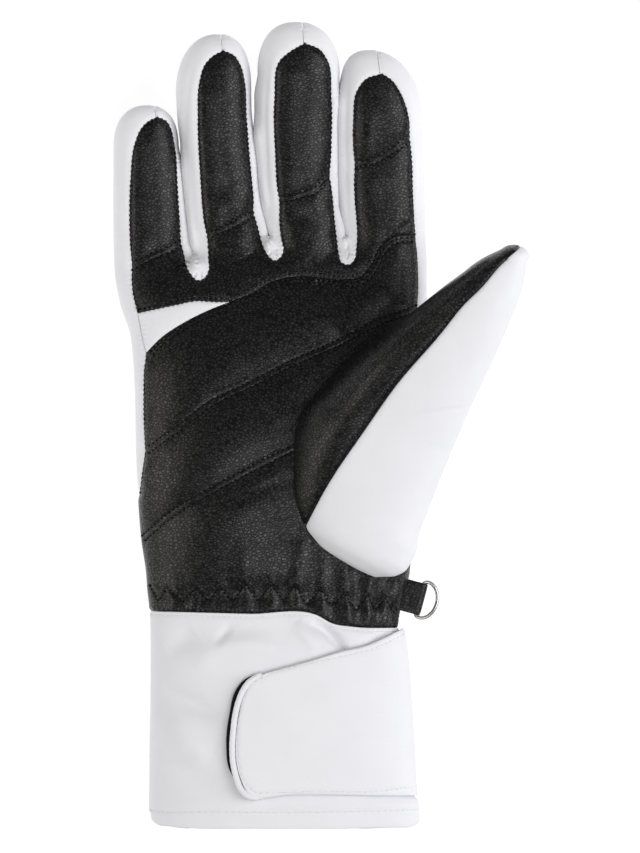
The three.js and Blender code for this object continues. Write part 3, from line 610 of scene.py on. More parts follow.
def clean_outline(outline):
    """The outline counterclockwise, without points closer than a hair to the one before."""
    kept = [outline[0]]
    for point in outline[1:]:
        if np.hypot(*(point - kept[-1])) > HAIR:
            kept.append(point)
    if np.hypot(*(kept[-1] - kept[0])) < HAIR:
        kept.pop()
    kept = np.array(kept)
    x, y = kept.T
    area = np.sum(x * np.roll(y, -1) - np.roll(x, -1) * y)
    return kept if area > 0 else kept[::-1]


def grown(outline):
    """A closed outline moved outwards by the width of a seam."""
    outline = clean_outline(outline)
    along = np.roll(outline, -1, axis=0) - np.roll(outline, 1, axis=0)
    along /= np.maximum(np.linalg.norm(along, axis=1), 1e-9)[:, None]
    return outline + np.stack([along[:, 1], -along[:, 0]], axis=1) * SEAM_GAP


def prism(outline, bottom, top=ABOVE_ALL):
    outline = clean_outline(outline)
    count = len(outline)
    points = np.vstack([np.column_stack([outline, np.full(count, z)]) for z in (bottom, top)])
    here = np.arange(count)
    after = (here + 1) % count
    faces = [tuple(here[::-1]), tuple(here + count)]
    faces += list(zip(here, after, after + count, here + count))
    return new_object("prism", points, faces)


def side_prism(line, height):
    """All that lies between a line in side view, of y and z, and a height, right across the glove."""
    made = prism(np.vstack([line, [(line[-1][0], height), (line[0][0], height)]]), -BESIDE_ALL, BESIDE_ALL)
    made.data.transform(ON_SIDE)
    return made


def slit(start, end, bottom):
    start, end = np.array(start, float), np.array(end, float)
    along = (end - start) / np.linalg.norm(end - start)
    across = np.array([-along[1], along[0]]) * SEAM_GAP / 2
    return prism(np.array([start - across, end - across, end + across, start + across]), bottom)


def largest(made, count=1):
    """Keeps the largest of the separate pieces that a cut left in one mesh, each as an object."""
    bm = bmesh.new()
    bm.from_mesh(made.data)
    group = np.full(len(bm.verts), -1)
    label = 0
    for start in bm.verts:
        if group[start.index] >= 0:
            continue
        group[start.index] = label
        reached = [start]
        while reached:
            for edge in reached.pop().link_edges:
                for vert in edge.verts:
                    if group[vert.index] < 0:
                        group[vert.index] = label
                        reached.append(vert)
        label += 1
    bm.free()
    points = get_points(made)
    parts = []
    for wanted in np.argsort(-np.bincount(group))[:count]:
        inside = group == wanted
        number = np.cumsum(inside) - 1
        faces = [tuple(number[list(face.vertices)]) for face in made.data.polygons
                 if inside[face.vertices[0]]]
        parts.append(new_object("panel", points[inside], faces))
    remove(made)
    return parts


print("gap of a seam in mm:", SEAM_GAP)

# %% [markdown]
# All panels come from the wall above the cuff. The back is what lies below the side seams. The upper
# leather is cut first and the lower leather ends at it. What is left above the side seams is white: slits
# at the fingertips and beside the palm part it into the strips between and beside the fingers.

# %% Cut the panels of the hand
SLIT_START = 6
SIDE_SLIT = [(-63.7, 41), (-60.3, 23.5)]
SIDE_TITLES = ("side_strip_little", "side_insert", "fourchette_little_ring", "fourchette_ring_middle",
               "fourchette_middle_index", "side_strip_index")
PAST_FINGERS = [(RIGHT_OF_ALL, 160), (LEFT_OF_ALL, 160)]
combine(hand_wall, prism(np.vstack([wrist_seam, PAST_FINGERS]), UNDER_FLOOR))
back_panel = largest(cut(hand_wall, side_prism([(y, z - SEAM_GAP) for y, z in BACK_SEAM], BELOW_ALL)))[0]
upper_leather = largest(cut(hand_wall, prism(upper_outline, PALM_FLOOR)))[0]
lower_leather = cut(hand_wall, prism(lower_outline, PALM_FLOOR))
lower_leather = largest(combine(lower_leather, prism(grown(upper_outline), PALM_FLOOR - 1), "DIFFERENCE"))[0]
sides = combine(hand_wall, side_prism(BACK_SEAM, ABOVE_ALL))
for outline in (upper_outline, lower_outline):
    combine(sides, prism(grown(outline), PALM_FLOOR - SEAM_GAP), "DIFFERENCE")
for finger in FINGER_LEATHER.values():
    x, y = finger["point"]
    combine(sides, slit((x, y - SLIT_START), finger["seam_top"], FLOOR), "DIFFERENCE")
combine(sides, slit(*SIDE_SLIT, PALM_FLOOR), "DIFFERENCE")
sides = sorted(largest(sides, len(SIDE_TITLES)), key=lambda part: get_points(part)[:, 0].min())
print("faces of the hand's panels:", face_counts(back_panel, upper_leather, lower_leather, *sides))

# %% [markdown]
# The thumb is two panels: black leather on the gripping side and white cloth outside. Its seam is drawn in
# the thumb's own frame, with y from the heel to the tip, and turned with it. The last column is the height
# at which the leather ends below.

# %% Cut the panels of the thumb
THUMB_EDGE = [
    (-10, -18, 22), (17, -18, 18), (37, -16, 20), (57, -13.7, 30), (79, -9, 42), (92.5, -6.6, 50),
    (100, -4.3, 54), (110.5, -2.1, 58), (119, 0.8, 62), (125, 1.5, 64),
]
thumb_edge = smooth_line([(x, y) for y, x, floor in THUMB_EDGE])
thumb_floor = smooth_line([(y, floor) for y, x, floor in THUMB_EDGE], 1)


def beside_edge(edge, side):
    """Everything on one side of the thumb's edge seam."""
    return prism(np.vstack([edge, [(side, edge[-1][1]), (side, edge[0][1])]]), BELOW_ALL)


leather_area = combine(beside_edge(thumb_edge, LEFT_OF_ALL), side_prism(thumb_floor, ABOVE_ALL))
white_area = combine(beside_edge(thumb_edge + (SEAM_GAP, 0), RIGHT_OF_ALL),
                     side_prism(thumb_floor - (0, SEAM_GAP), BELOW_ALL), "UNION")
for area in (leather_area, white_area):
    area.data.transform(THUMB_FRAME)
thumb_leather = largest(cut(thumb_wall, leather_area))[0]
thumb_shell = largest(combine(thumb_wall, white_area))[0]
print("faces of the thumb's panels:", face_counts(thumb_leather, thumb_shell))

# %% [markdown]
# The cuff is a tube with a turned hem. The closure strap wraps round its thumb side: it is a second layer
# over the tube, a little clear of it on the palm side because its core is stiff. The hook pad below its end
# is a thinner layer of the same kind.

# %% Cut the cuff, the strap and the hook pad
HEM_EDGE = [(-62, -133.5), (-59.3, -134), (-58.8, -136.3), (-57, -137.8), (-52, -138.6), (-20, -139.4),
            (5, -139.4), (25, -138.9), (32.8, -138.5), (34.2, -137.8), (60, -137)]
STRAP = {"gap": 0.3, "rise": 1.5, "thickness": 1.7, "floor": 11, "sag": 1.5, "sag_reach": 5}
PAD = {"gap": 0.3, "over": 1.3}
STRAP_TOP = [(60, -66), (29, -70.3), (22.8, -73.1), (15.9, -75.9), (8, -77.7), (-3.2, -81.1), (-22, -86.2)]
STRAP_END = [(-22, -86.2), (-26.6, -89.5), (-29, -93.6), (-30.6, -100.5), (-31.2, -110.5), (-30.2, -119.5),
             (-28, -125.4), (-26.2, -128.3), (-22.4, -129.2)]
STRAP_BOTTOM = [(-22.4, -129.2), (-11.9, -127.6), (1.7, -127.4), (20.3, -127.8), (60, -127.4)]
BINDING_EDGE = [(-16, -83.6), (-20.6, -86.6), (-23.9, -89.1), (-26.2, -92.9), (-27.9, -98.9), (-28.8, -105),
                (-29.2, -111), (-28.8, -116.8), (-27.6, -121.5), (-25.6, -125.8), (-22, -129.5)]
PAD_OUTLINE = [(-10, -88), (-18, -87), (-21.8, -86), (-26, -87.6), (-29.2, -91.5), (-31.3, -99.5),
               (-32.4, -110.5), (-31.2, -119), (-27, -124.5), (-10, -124)]
ROUND_STRAP = [(70, -150), (70, -50)]
CUFF_HOLLOW = {"sides": 80, "step": 2}


def cuff_tube(side, rise):
    """The cuff's form, moved out by one distance at the sides and another on the palm side."""
    rings = table_rings(CUFF, FINE["cuff"], FINE["step"], 0, FLOOR)
    along = np.roll(rings, -1, axis=1) - np.roll(rings, 1, axis=1)
    outward = np.stack([along[..., 2], np.zeros(along.shape[:2]), -along[..., 0]], axis=-1)
    outward /= np.linalg.norm(outward, axis=-1)[..., None]
    rings += outward * (side + (rise - side) * np.maximum(outward[..., 2:], 0))
    return new_object("tube", *loft(rings))


hem_edge, binding_edge = smooth_line(HEM_EDGE), smooth_line(BINDING_EDGE)
strap_top, strap_end, strap_bottom = smooth_line(STRAP_TOP), smooth_line(STRAP_END), smooth_line(STRAP_BOTTOM)
mouth = [(CUFF[0][0] - WALL, *CUFF[0][1:]), *CUFF]
hollow = table_rings(mouth, CUFF_HOLLOW["sides"], CUFF_HOLLOW["step"], -CUFF_WALL, CUFF_WALL)
cuff = combine(cuff_tube(0, 0), new_object("hollow", *loft(hollow)), "DIFFERENCE")
cuff_outline = np.vstack([hem_edge, (wrist_seam - (0, SEAM_GAP))[::-1]])
cuff = largest(combine(cuff, prism(cuff_outline, UNDER_FLOOR)))[0]

strap_over = STRAP["gap"] + STRAP["thickness"], STRAP["rise"] + STRAP["thickness"]
closure_strap = combine(cuff_tube(*strap_over), cuff_tube(STRAP["gap"], STRAP["rise"]), "DIFFERENCE")
combine(closure_strap, prism(np.vstack([strap_top, strap_end, strap_bottom]), STRAP["floor"]))
combine(closure_strap, prism(np.vstack([binding_edge, ROUND_STRAP]), FLOOR))
hook_pad = combine(cuff_tube(PAD["over"], PAD["over"]), cuff_tube(PAD["gap"], PAD["gap"]), "DIFFERENCE")
combine(hook_pad, prism(smooth_line(PAD_OUTLINE + PAD_OUTLINE[:1]), PALM_FLOOR))
closure_strap, hook_pad = largest(closure_strap)[0], largest(hook_pad)[0]
print("faces of the cuff's pieces:", face_counts(cuff, closure_strap, hook_pad))

# %% [markdown]
# A seam is a valley: both panels roll down into it, because they are turned under before they are sewn.
# A row of topstitching only pinches the padding. Each line below carries the depth and the width of the
# valley that it makes, so one nearest-point search over all of them shapes every panel.

# %% Lines that shape the surface
TOPSTITCH = {
    "little": [(-65.6, 55), (-58.2, 58.8), (-52.8, 61.1), (-47.6, 63.8)],
    "ring": [(-39.8, 65.1), (-31.5, 69.2), (-26.5, 71.6), (-21.4, 74.4)],
    "middle": [(-14.6, 77.7), (-6.8, 80.1), (-1.9, 81.5), (1.1, 84.1), (4.5, 87.4)],
    "index": [(12.2, 90.3), (19.3, 92.1), (23.4, 94.4), (27.7, 97.2), (31.8, 100.2)],
    "palm_upper": [(-61.2, -9.4), (-50.1, -1.7), (-37.4, 8), (-24.6, 14.2), (-11.8, 20.8), (6.9, 29.1),
                   (18.4, 35), (33.8, 40.9)],
    "palm_lower": [(-61.2, -38.8), (-50.2, -29.8), (-37.4, -22.2), (-24.6, -15.2), (-9, -7.4)],
}
ROW_OFFSET = 1.0
SEAM_ROWS = (1.0, 2.4)
ZIGZAG = [(-58.9, -55.4), (-56, -60.5), (-52.7, -56), (-47.5, -60.8), (-43, -56.3), (-38.6, -60.5),
          (-34.8, -56), (-30.1, -60.5), (-25.8, -54.9), (-21.5, -60.5), (-17, -55), (-12.6, -60.3),
          (-8.5, -55.4), (-4.7, -61.5), (0.2, -56.5), (3.8, -61.5), (8.7, -58.5), (12.3, -63.4),
          (16.6, -58.8), (19.1, -63.3), (22.5, -59.7), (25.6, -64.4)]
CUFF_ROW_OFFSET = 1.3
STRAP_ROW = [(28.9, -72.2), (19, -76.8), (4.9, -80.2), (-9.3, -83.5), (-19.9, -87.1), (-24.1, -89.6),
             (-26.6, -94.5), (-27.8, -101.6), (-28.3, -108.7), (-28, -115.7), (-26.2, -122.1),
             (-22.7, -126.3), (-16.3, -126.6), (-2.2, -126.2), (19, -126.3), (34, -124.6)]
HEM_ROW = [(-58.6, -133.1), (-56, -133.4), (-40, -133.4), (0, -133.4), (33.4, -132.8)]
TRIM, SEAM_TRIM = slice(4, -4), slice(6, -6)
INSERT_ROW_OFFSET = 0.9
QUILT = {"palm": 0.45, "finger": 0.8, "width": 4.5, "seam_width": 3.5, "seam_offset": -1.5}


class Lines:
    """Close samples of several lines in plan view, each with the depth and width of its valley."""

    def __init__(self, entries):
        samples = [(point, depth, width, along) for line, depth, width in entries
                   for point, along in zip(line[:, :2], lengths_along(line[:, :2]))]
        self.shape = np.array([sample[1:] for sample in samples])
        self.tree = point_tree([(*sample[0], 0) for sample in samples])

    def nearest(self, points):
        """Distance to the nearest line, and there the valley's depth and width and the length along it."""
        found = [self.tree.find((x, y, 0)) for x, y in points[:, :2]]
        return np.array([hit[2] for hit in found]), *self.shape[[hit[1] for hit in found]].T

    def gap(self, points):
        return self.nearest(points)[0]

    def valley(self, points):
        """How deep each point lies in the soft valley along a row of stitches."""
        gap, depth, width, along = self.nearest(points)
        return depth * np.exp(-(gap / width) ** 2)

    def seam(self, points, pucker=0):
        """The rolled valley of a seam, with small bumps beside it between each two stitches."""
        gap, depth, width, along = self.nearest(points)
        beside = np.exp(-((gap - PUCKER_REACH) / PUCKER_REACH) ** 2)
        bump = pucker * np.cos(2 * np.pi * along / SCALLOP["pitch"]) * beside
        return bump - depth * rolled(gap / width)


def point_tree(points):
    """A search tree over points."""
    tree = KDTree(len(points))
    for number, point in enumerate(points):
        tree.insert(point, number)
    tree.balance()
    return tree


def rolled(share):
    """1 at a seam and 0 one width away, round like the edge of a pillow."""
    share = np.clip(share, 0, 1)
    return 1 - np.sqrt(1 - (1 - share) ** 2)


def offset_line(line, distance):
    """The line moved to its right by a distance."""
    return line[:, :2] + sideways(line) * distance


long_seam = np.vstack([palm_seam, lower_insert_edge[1:]])
stitch_rows = {title: [offset_line(smooth_line(line), side * ROW_OFFSET) for side in (-1, 1)]
               for title, line in TOPSTITCH.items()}
stitch_rows["palm_seam"] = [offset_line(long_seam, -distance)[SEAM_TRIM] for distance in SEAM_ROWS]
stitch_rows["insert_edge"] = [offset_line(smooth_line(UPPER_INSERT_EDGE), INSERT_ROW_OFFSET)[TRIM]]
zigzag_row = np.vstack([*[smooth_line(pair)[:-1] for pair in zip(ZIGZAG[:-1], ZIGZAG[1:])], ZIGZAG[-1:]])
slits = [np.array([finger["point"], finger["seam_top"]], float) for finger in FINGER_LEATHER.values()]
seam_lines = Lines(
    [(line, 1.0, 2.3) for line in finger_lines]
    + [(palm_seam, 0.55, 1.2), (upper_insert_edge, 0.8, 1.8), (lower_insert_edge, 0.7, 1.8)]
    + [(lower_left_edge, 0.9, 2.2), (lower_right_edge, 0.8, 2), (wrist_seam, 0.8, 1.8)]
    + [(smooth_line(line), 0.25, 0.9) for line in slits]
    + [(smooth_line(SIDE_SLIT), 0.4, 1.2)]
)
row_lines = Lines([(row, 0.24, 0.6) for rows in stitch_rows.values() for row in rows]
                  + [(zigzag_row, 0.38, 0.7)])
quilt_lines = Lines([(offset_line(long_seam, QUILT["seam_offset"]), QUILT["palm"], QUILT["seam_width"])]
                    + [(smooth_line(line), QUILT["palm" if "palm" in title else "finger"], QUILT["width"])
                       for title, line in TOPSTITCH.items()])
print("rows of stitches:", sum(len(rows) for rows in stitch_rows.values()))

# %% [markdown]
# Folds and dents are drawn as short lines too, each with a height and a width. A negative height is a
# dent. They come from where cloth really gives: the roots of the fingers, the crease across the palm, the
# bend of the thumb and the wrist, where an elastic gathers everything into soft upright ridges.

# %% Folds, dents and gathers
LEATHER_FOLDS = [
    (-1.6, 8, [(-38, 40), (-27, 29), (-18, 17), (-10, 3)]),
    (0.7, 5, [(17, 122), (16.5, 100), (17.5, 80)]),
    (-0.9, 3.2, [(-13, 75), (-5, 72.5), (4, 70.5)]),
    (0.5, 3, [(-12, 66), (-6, 62), (-2, 58.5)]),
    (-2.2, 4, [(-3, 50), (5, 42), (14.5, 30)]),
    (-0.5, 1, [(33.4, 71.5), (30, 69.4), (27, 67.4)]),
    (-0.5, 2.5, [(-36, 84), (-30, 82.5), (-25, 82)]),
    (0.35, 2.5, [(-38, 78), (-31, 76), (-24, 78)]),
    (-0.5, 2.5, [(-20, 42), (-10, 33), (2, 27)]),
    (0.4, 5, [(-46, -38), (-34, -32), (-20, -26)]),
    (-0.4, 2, [(-8, -18), (-18, -21), (-30, -27)]),
]
CREASES = [
    (-0.35, 0.9, [(-44, 126), (-46.3, 112), (-46.6, 92), (-45.3, 70)]),
    (-0.35, 0.9, [(-17.6, 129), (-19, 112), (-18.6, 92), (-18, 72)]),
    (-0.35, 0.9, [(9.6, 124), (8.9, 108), (8.7, 90), (9.4, 68)]),
    (-0.3, 0.9, [(-68.6, 104), (-69.4, 90), (-69.4, 72), (-69, 56)]),
    (-1.3, 0.45, [(-48.9, 100), (-46.8, 78), (-44.9, 64), (-42.9, 56)]),
    (-1.3, 0.45, [(-23.7, 110), (-21.2, 85), (-19.9, 74.6), (-17.5, 64)]),
    (-1.3, 0.45, [(6.9, 121.6), (6.1, 106), (6.1, 85), (8, 70.7), (8.8, 65)]),
    (-0.9, 0.5, [(-43.4, 58), (-42.2, 54.6), (-43.4, 53.6)]),
    (-0.8, 0.45, [(-42.4, 54.4), (-41.4, 53.2), (-41.6, 50.6)]),
    (-0.7, 0.45, [(-42.8, 53.4), (-43.8, 51.6)]),
    (-0.6, 0.4, [(-41.6, 53), (-39.6, 51.8)]),
    (-0.9, 0.5, [(-18.2, 65), (-16.7, 61.6), (-14.6, 61.4)]),
    (-0.8, 0.45, [(-16.4, 61.2), (-15.2, 59.4), (-15.4, 57.4)]),
    (-0.6, 0.4, [(-16.6, 60.8), (-18, 59.2)]),
    (-0.9, 0.5, [(8.4, 66), (9.4, 62.6), (8.6, 61)]),
    (-0.8, 0.45, [(9.3, 62), (9.8, 59.6), (9.2, 57.6)]),
    (-0.6, 0.4, [(9.8, 60.8), (11.2, 59.4)]),
]
THUMB_FOLDS = [
    (-0.5, 0.6, [(23, 0.6), (34, 3.6), (46, 5.8), (52, 6)]),
    (0.2, 2.2, [(24, -3), (36, 0), (47, 2.2)]),
    (-0.2, 1.6, [(30, -10), (40, -8), (48, -9)]),
    (-0.25, 1.6, [(12, -38.6), (22, -38.4), (29, -36.4), (33, -31)]),
    (-0.15, 1, [(26, -45), (32, -42.5), (36, -39.5)]),
    (-0.15, 1.2, [(28, 16), (33, 16.6), (38, 16)]),
]
GATHERS = [
    (0.6, 2.2, [(-50.6, -55), (-51, -66)]),
    (0.6, 2.2, [(-43.6, -55), (-43.4, -66)]),
    (0.6, 2.2, [(-35, -54), (-35, -66)]),
    (0.7, 2.2, [(-25.4, -54), (-25.8, -66)]),
    (0.9, 2.0, [(-16.2, -52), (-17, -66)]),
    (1.4, 2.3, [(-7.4, -52), (-8.2, -67)]),
    (1.1, 2.2, [(1, -53), (0.8, -69)]),
    (1.6, 2.3, [(9.2, -52), (9.8, -71)]),
    (1.4, 2.0, [(16.4, -52), (16.6, -71)]),
    (1.3, 1.8, [(22.4, -54), (22.4, -71)]),
    (1.1, 1.6, [(27.2, -54), (26.6, -71)]),
    (0.7, 2.4, [(-5, -34), (-9, -57)]),
    (0.6, 2.0, [(1.5, -38), (1, -56)]),
    (0.7, 2.4, [(9, -42), (7, -58)]),
    (0.7, 2.2, [(21, -48), (14, -61)]),
    (0.4, 2.8, [(-26, -42), (-26, -56)]),
    (-0.6, 1.4, [(25.6, -54.7), (18.7, -63.7)]),
    (-0.5, 3.0, [(-60, -58.2), (-30, -58.2), (0, -59), (30, -62)]),
]
FOLD = {"reach": 2.6, "end": 0.02, "taper": 0.6, "gather_taper": 0.35}


class Folds:
    """The sum of ridges and dents along short lines, softened towards their ends."""

    def __init__(self, table, taper=FOLD["taper"]):
        self.rows = [(height, width, smooth_line(points, 1)) for height, width, points in table]
        self.taper = taper

    def height(self, points):
        total = np.zeros(len(points))
        for height, width, line in self.rows:
            reach = FOLD["reach"] * width
            low, high = line.min(axis=0) - reach, line.max(axis=0) + reach
            near = np.flatnonzero(np.all((points[:, :2] > low) & (points[:, :2] < high), axis=1))
            if not len(near):
                continue
            here = points[near, None, :2]
            start, along = line[:-1], np.diff(line, axis=0)
            share = np.clip(((here - start) * along).sum(-1) / (along**2).sum(-1), 0, 1)
            gap = np.linalg.norm(here - (start + along * share[..., None]), axis=-1)
            best = gap.argmin(axis=1)
            pick = np.arange(len(near))
            place = np.clip((best + share[pick, best]) / len(along), FOLD["end"], 1 - FOLD["end"])
            soften = np.sin(np.pi * place) ** self.taper
            total[near] += height * soften * np.exp(-(gap[pick, best] / width) ** 2)
        return total


leather_folds, creases, thumb_folds = Folds(LEATHER_FOLDS), Folds(CREASES), Folds(THUMB_FOLDS)
gathers = Folds(GATHERS, FOLD["gather_taper"])
print("folds:", len(LEATHER_FOLDS) + len(CREASES) + len(THUMB_FOLDS) + len(GATHERS))

# %% [markdown]
# Dressing a panel takes three steps. Its edges near the lines are split, so that a valley has enough
# points to be round. Every outer point then looks up the smooth blank that it was cut from, because the
# blank's normal doesn't know about the cut. At last the point moves along that normal by the sum of all
# valleys and folds. Points of the hidden inner side stay where they are.

# %% Dress a panel
REFINE_REACH = 2.7
SKIN = 0.15


def skin_tree(made):
    """A search tree over the faces of a mesh."""
    faces = [tuple(face.vertices) for face in made.data.polygons]
    return BVHTree.FromPolygons([Vector(point) for point in get_points(made)], faces)


def drop(line, tree):
    """What upright rays through a flat line meet on a skin, each as a point, normal, face and distance."""
    return [tree.ray_cast(Vector((x, y, ABOVE_ALL)), Vector((0, 0, -1))) for x, y in line[:, :2]]


def unit(vectors):
    return vectors / np.linalg.norm(vectors, axis=1)[:, None]


class Blank:
    """The smooth form that a panel was cut from: the nearest point on it and the smooth normal there."""

    def __init__(self, made):
        normals = get_points(made, "normal")
        self.face_normals = np.array([normals[list(face.vertices)[:4]].mean(axis=0)
                                      for face in made.data.polygons])
        self.tree = skin_tree(made)

    def look_up(self, points):
        """How deep below the blank's surface the points are, and the blank's normals there."""
        found = [self.tree.find_nearest(Vector(point)) for point in points]
        return np.array([hit[3] for hit in found]), unit(self.face_normals[[hit[2] for hit in found]])

    def distance(self, points, reach):
        """Distance to the blank, or reach where it is further away."""
        found = [self.tree.find_nearest(Vector(point), reach) for point in points]
        return np.array([reach if hit[0] is None else hit[3] for hit in found])


def refine(made, near):
    """Splits every edge whose two ends are near the lines that shape the surface."""
    bm = bmesh.new()
    bm.from_mesh(made.data)
    close = near(get_points(made))
    edges = [edge for edge in bm.edges if close[edge.verts[0].index] and close[edge.verts[1].index]]
    bmesh.ops.subdivide_edges(bm, edges=edges, cuts=1, use_grid_fill=True)
    bmesh.ops.triangulate(bm, faces=[face for face in bm.faces if len(face.verts) > 4])
    bm.to_mesh(made.data)
    bm.free()


def dress(made, form, near, relief):
    refine(made, near)
    points = get_points(made)
    deep, normals = form.look_up(points)
    share = np.clip(1 - (deep - SKIN) / (WALL - 2 * SKIN), 0, 1)
    outer = share > 0
    points[outer] += relief(points[outer], normals[outer]) * share[outer, None]
    points[:, 2] = np.maximum(points[:, 2], FLOOR)
    set_points(made, points)


hand_form, thumb_form = Blank(hand_blank), Blank(thumb_blank)
print("faces to look up:", len(hand_form.face_normals), len(thumb_form.face_normals))

# %% [markdown]
# The padding swells between the seams. A coarse copy of the hand is held along every seam and row of
# stitches and blown up as cloth with air inside. What it gains is read off as a height for each point.

# %% Blow up the padding
AIR = {"voxel": 3.2, "pressure": 2000, "frames": 20, "most": 1.6, "near": 6}
HELD = {"beside": 2.2, "below": 14, "facing": 0.3, "clear": 4}
CREASE_WIDTH = 1
PRESSED_DEPTH = 1
PRESS = {"lift": 3.4, "width": 2.1, "swell": 0.9, "reach": 1.3, "start": 12, "high": (6, 12)}
crease_lines = Lines([(line, height, width) for height, width, line in creases.rows if width < CREASE_WIDTH])
pressed_lines = Lines([(line, PRESS["lift"], PRESS["width"]) for height, width, line in creases.rows
                       if height < -PRESSED_DEPTH])


class Padding:
    """How far the upper skin of a blank swells between the lines that hold it."""

    def __init__(self, blank, neighbour, held_lines):
        skin = copy_of(blank)
        grid = skin.modifiers.new("grid", "REMESH")
        grid.mode = "VOXEL"
        grid.voxel_size = AIR["voxel"]
        apply_modifiers(skin)
        points, normals = get_points(skin), get_points(skin, "normal")
        held = np.minimum.reduce([lines.gap(points) for lines in held_lines]) < HELD["beside"]
        held |= (points[:, 2] < HELD["below"]) | (normals[:, 2] < HELD["facing"])
        held |= neighbour.distance(points, HELD["clear"]) < HELD["clear"]
        group = skin.vertex_groups.new(name="held")
        group.add(np.flatnonzero(held).tolist(), 1, "REPLACE")
        set_points(skin, points * MM)
        cloth = skin.modifiers.new("air", "CLOTH")
        cloth.settings.use_pressure = True
        cloth.settings.uniform_pressure_force = AIR["pressure"]
        cloth.settings.effector_weights.gravity = 0
        cloth.settings.vertex_group_mass = "held"
        cloth.point_cache.frame_end = AIR["frames"]
        for number in range(1, AIR["frames"] + 1):
            bpy.context.scene.frame_set(number)
        apply_modifiers(skin)
        bpy.context.scene.frame_set(1)
        gain = ((get_points(skin) / MM - points) * normals).sum(axis=1)
        self.gain = np.where(held, 0, np.clip(gain, 0, AIR["most"]))
        self.tree = point_tree(points)
        remove(skin)
        print("air lifts the skin by", np.percentile(gain[~held], [5, 50, 95]).round(2), "mm")

    def height(self, points):
        total = np.zeros(len(points))
        for place, point in enumerate(points):
            found = self.tree.find_n(point, AIR["near"])
            weight = np.array([math.exp(-(hit[2] / AIR["voxel"]) ** 2) for hit in found])
            total[place] = (weight * self.gain[[hit[1] for hit in found]]).sum() / max(weight.sum(), 1e-9)
        return total


padding = None
padding = Padding(hand_blank, thumb_form, (seam_lines, row_lines, crease_lines, pressed_lines))
print("padding:", "left out of this quick run" if padding is None else "blown up")

# %% [markdown]
# Now the hand's panels are dressed. Seams and rows pull their points in, folds and padding move them in or
# out, and where two fingers press together their sides swell up and hide the gap.

# %% Dress the hand
FACING_UP = (0.1, 0.45)
HIGH = (14, 18)
ABOVE_BACK = 12
SIDE_SEAM = {"near": 2, "depth": 0.5, "width": 1.6, "level": (0.75, 0.95)}
PUCKER_REACH = 0.8
PUCKERS = {"hand": 0.1, "thumb": 0.08}
CROTCH_REACH = 7


def beside_back_seam(points):
    return np.abs(points[:, 2] - np.interp(points[:, 1], *np.transpose(BACK_SEAM)))


def near_crotches(points):
    ends = np.array([line[len(line) // 2] for line in CROTCHES], float)
    gap = np.linalg.norm(points[:, None, :2] - ends, axis=2).min(axis=1)
    return (gap < CROTCH_REACH) & (points[:, 2] > ABOVE_BACK)


def near_hand_lines(points):
    gap = np.minimum(seam_lines.gap(points), row_lines.gap(points))
    gap = np.minimum(gap, crease_lines.gap(points) + 1)
    return (gap < REFINE_REACH) & (points[:, 2] > ABOVE_BACK) | (beside_back_seam(points) < SIDE_SEAM["near"])


def hand_relief(points, normals):
    """How each outer point of the hand moves: along its normal, and up where two fingers press together."""
    facing_up = fade(normals[:, 2], *FACING_UP)
    move = seam_lines.seam(points, PUCKERS["hand"]) * fade(points[:, 2], *HIGH)
    move -= row_lines.valley(points) * facing_up
    move -= quilt_lines.valley(points) * facing_up
    move += (leather_folds.height(points) + creases.height(points) + gathers.height(points)) * facing_up
    if padding:
        move += padding.height(points)
    upright = 1 - fade(np.abs(normals[:, 2]), *SIDE_SEAM["level"])
    move -= SIDE_SEAM["depth"] * rolled(beside_back_seam(points) / SIDE_SEAM["width"]) * upright
    gap, height, width, along = pressed_lines.nearest(points)
    high = fade(points[:, 2], *PRESS["high"]) * fade(along, 0, PRESS["start"])
    move += PRESS["swell"] * np.exp(-(gap / PRESS["reach"]) ** 2) * high
    lift = height * np.exp(-(gap / width) ** 2) * high
    return normals * move[:, None] + np.outer(lift, (0, 0, 1))


for part in (upper_leather, lower_leather, *sides, back_panel):
    refine(part, near_crotches)
    dress(part, hand_form, near_hand_lines, hand_relief)
print("faces of the dressed hand:", face_counts(upper_leather, lower_leather, *sides, back_panel))

# %% [markdown]
# The thumb is dressed in its own blank. Its lines come from the edge between leather and white: a deep seam
# that flattens at the tip, and a padded ridge beside it. Where it touches the hand it is pressed in.

# %% Dress the thumb
TIP_SAMPLES = 40
RIDGE = {"height": 1.5, "width": 5.8, "beside": -7.5, "samples": slice(20, -60, 20)}
CONTACT = {"reach": 1.8, "depth": 0.8}
thumb_seam = np.array([(THUMB_FRAME @ Vector((x, y, 0)))[:2] for x, y in thumb_edge])
thumb_lines = Lines([(thumb_seam[:-TIP_SAMPLES], 1.1, 2.6), (thumb_seam[-TIP_SAMPLES:], 0.4, 1.6)])
ridge_line = offset_line(thumb_seam, RIDGE["beside"])[RIDGE["samples"]]
thumb_ridge = Folds([(RIDGE["height"], RIDGE["width"], ridge_line)])


def near_thumb_lines(points):
    return (thumb_lines.gap(points) < REFINE_REACH) & (points[:, 2] > ABOVE_BACK)


def thumb_relief(points, normals):
    """How far each outer point of the thumb moves along its normal."""
    move = thumb_lines.seam(points, PUCKERS["thumb"]) * fade(points[:, 2], *HIGH)
    move += thumb_folds.height(points) * fade(normals[:, 2], *FACING_UP) + thumb_ridge.height(points)
    contact = hand_form.distance(points, CONTACT["reach"])
    return normals * (move - CONTACT["depth"] * rolled(contact / CONTACT["reach"]))[:, None]


for part in (thumb_leather, thumb_shell):
    dress(part, thumb_form, near_thumb_lines, thumb_relief)
print("faces of the dressed thumb:", face_counts(thumb_leather, thumb_shell))

# %% [markdown]
# The cuff has no padding, so its seams are shallow and its folds are broad: a soft pleat where the strap
# starts, and a sag between the wrist and the hem. The strap is stiffer: it is a flat layer whose
# edges are rolled over a core and held by one row of stitches all round.

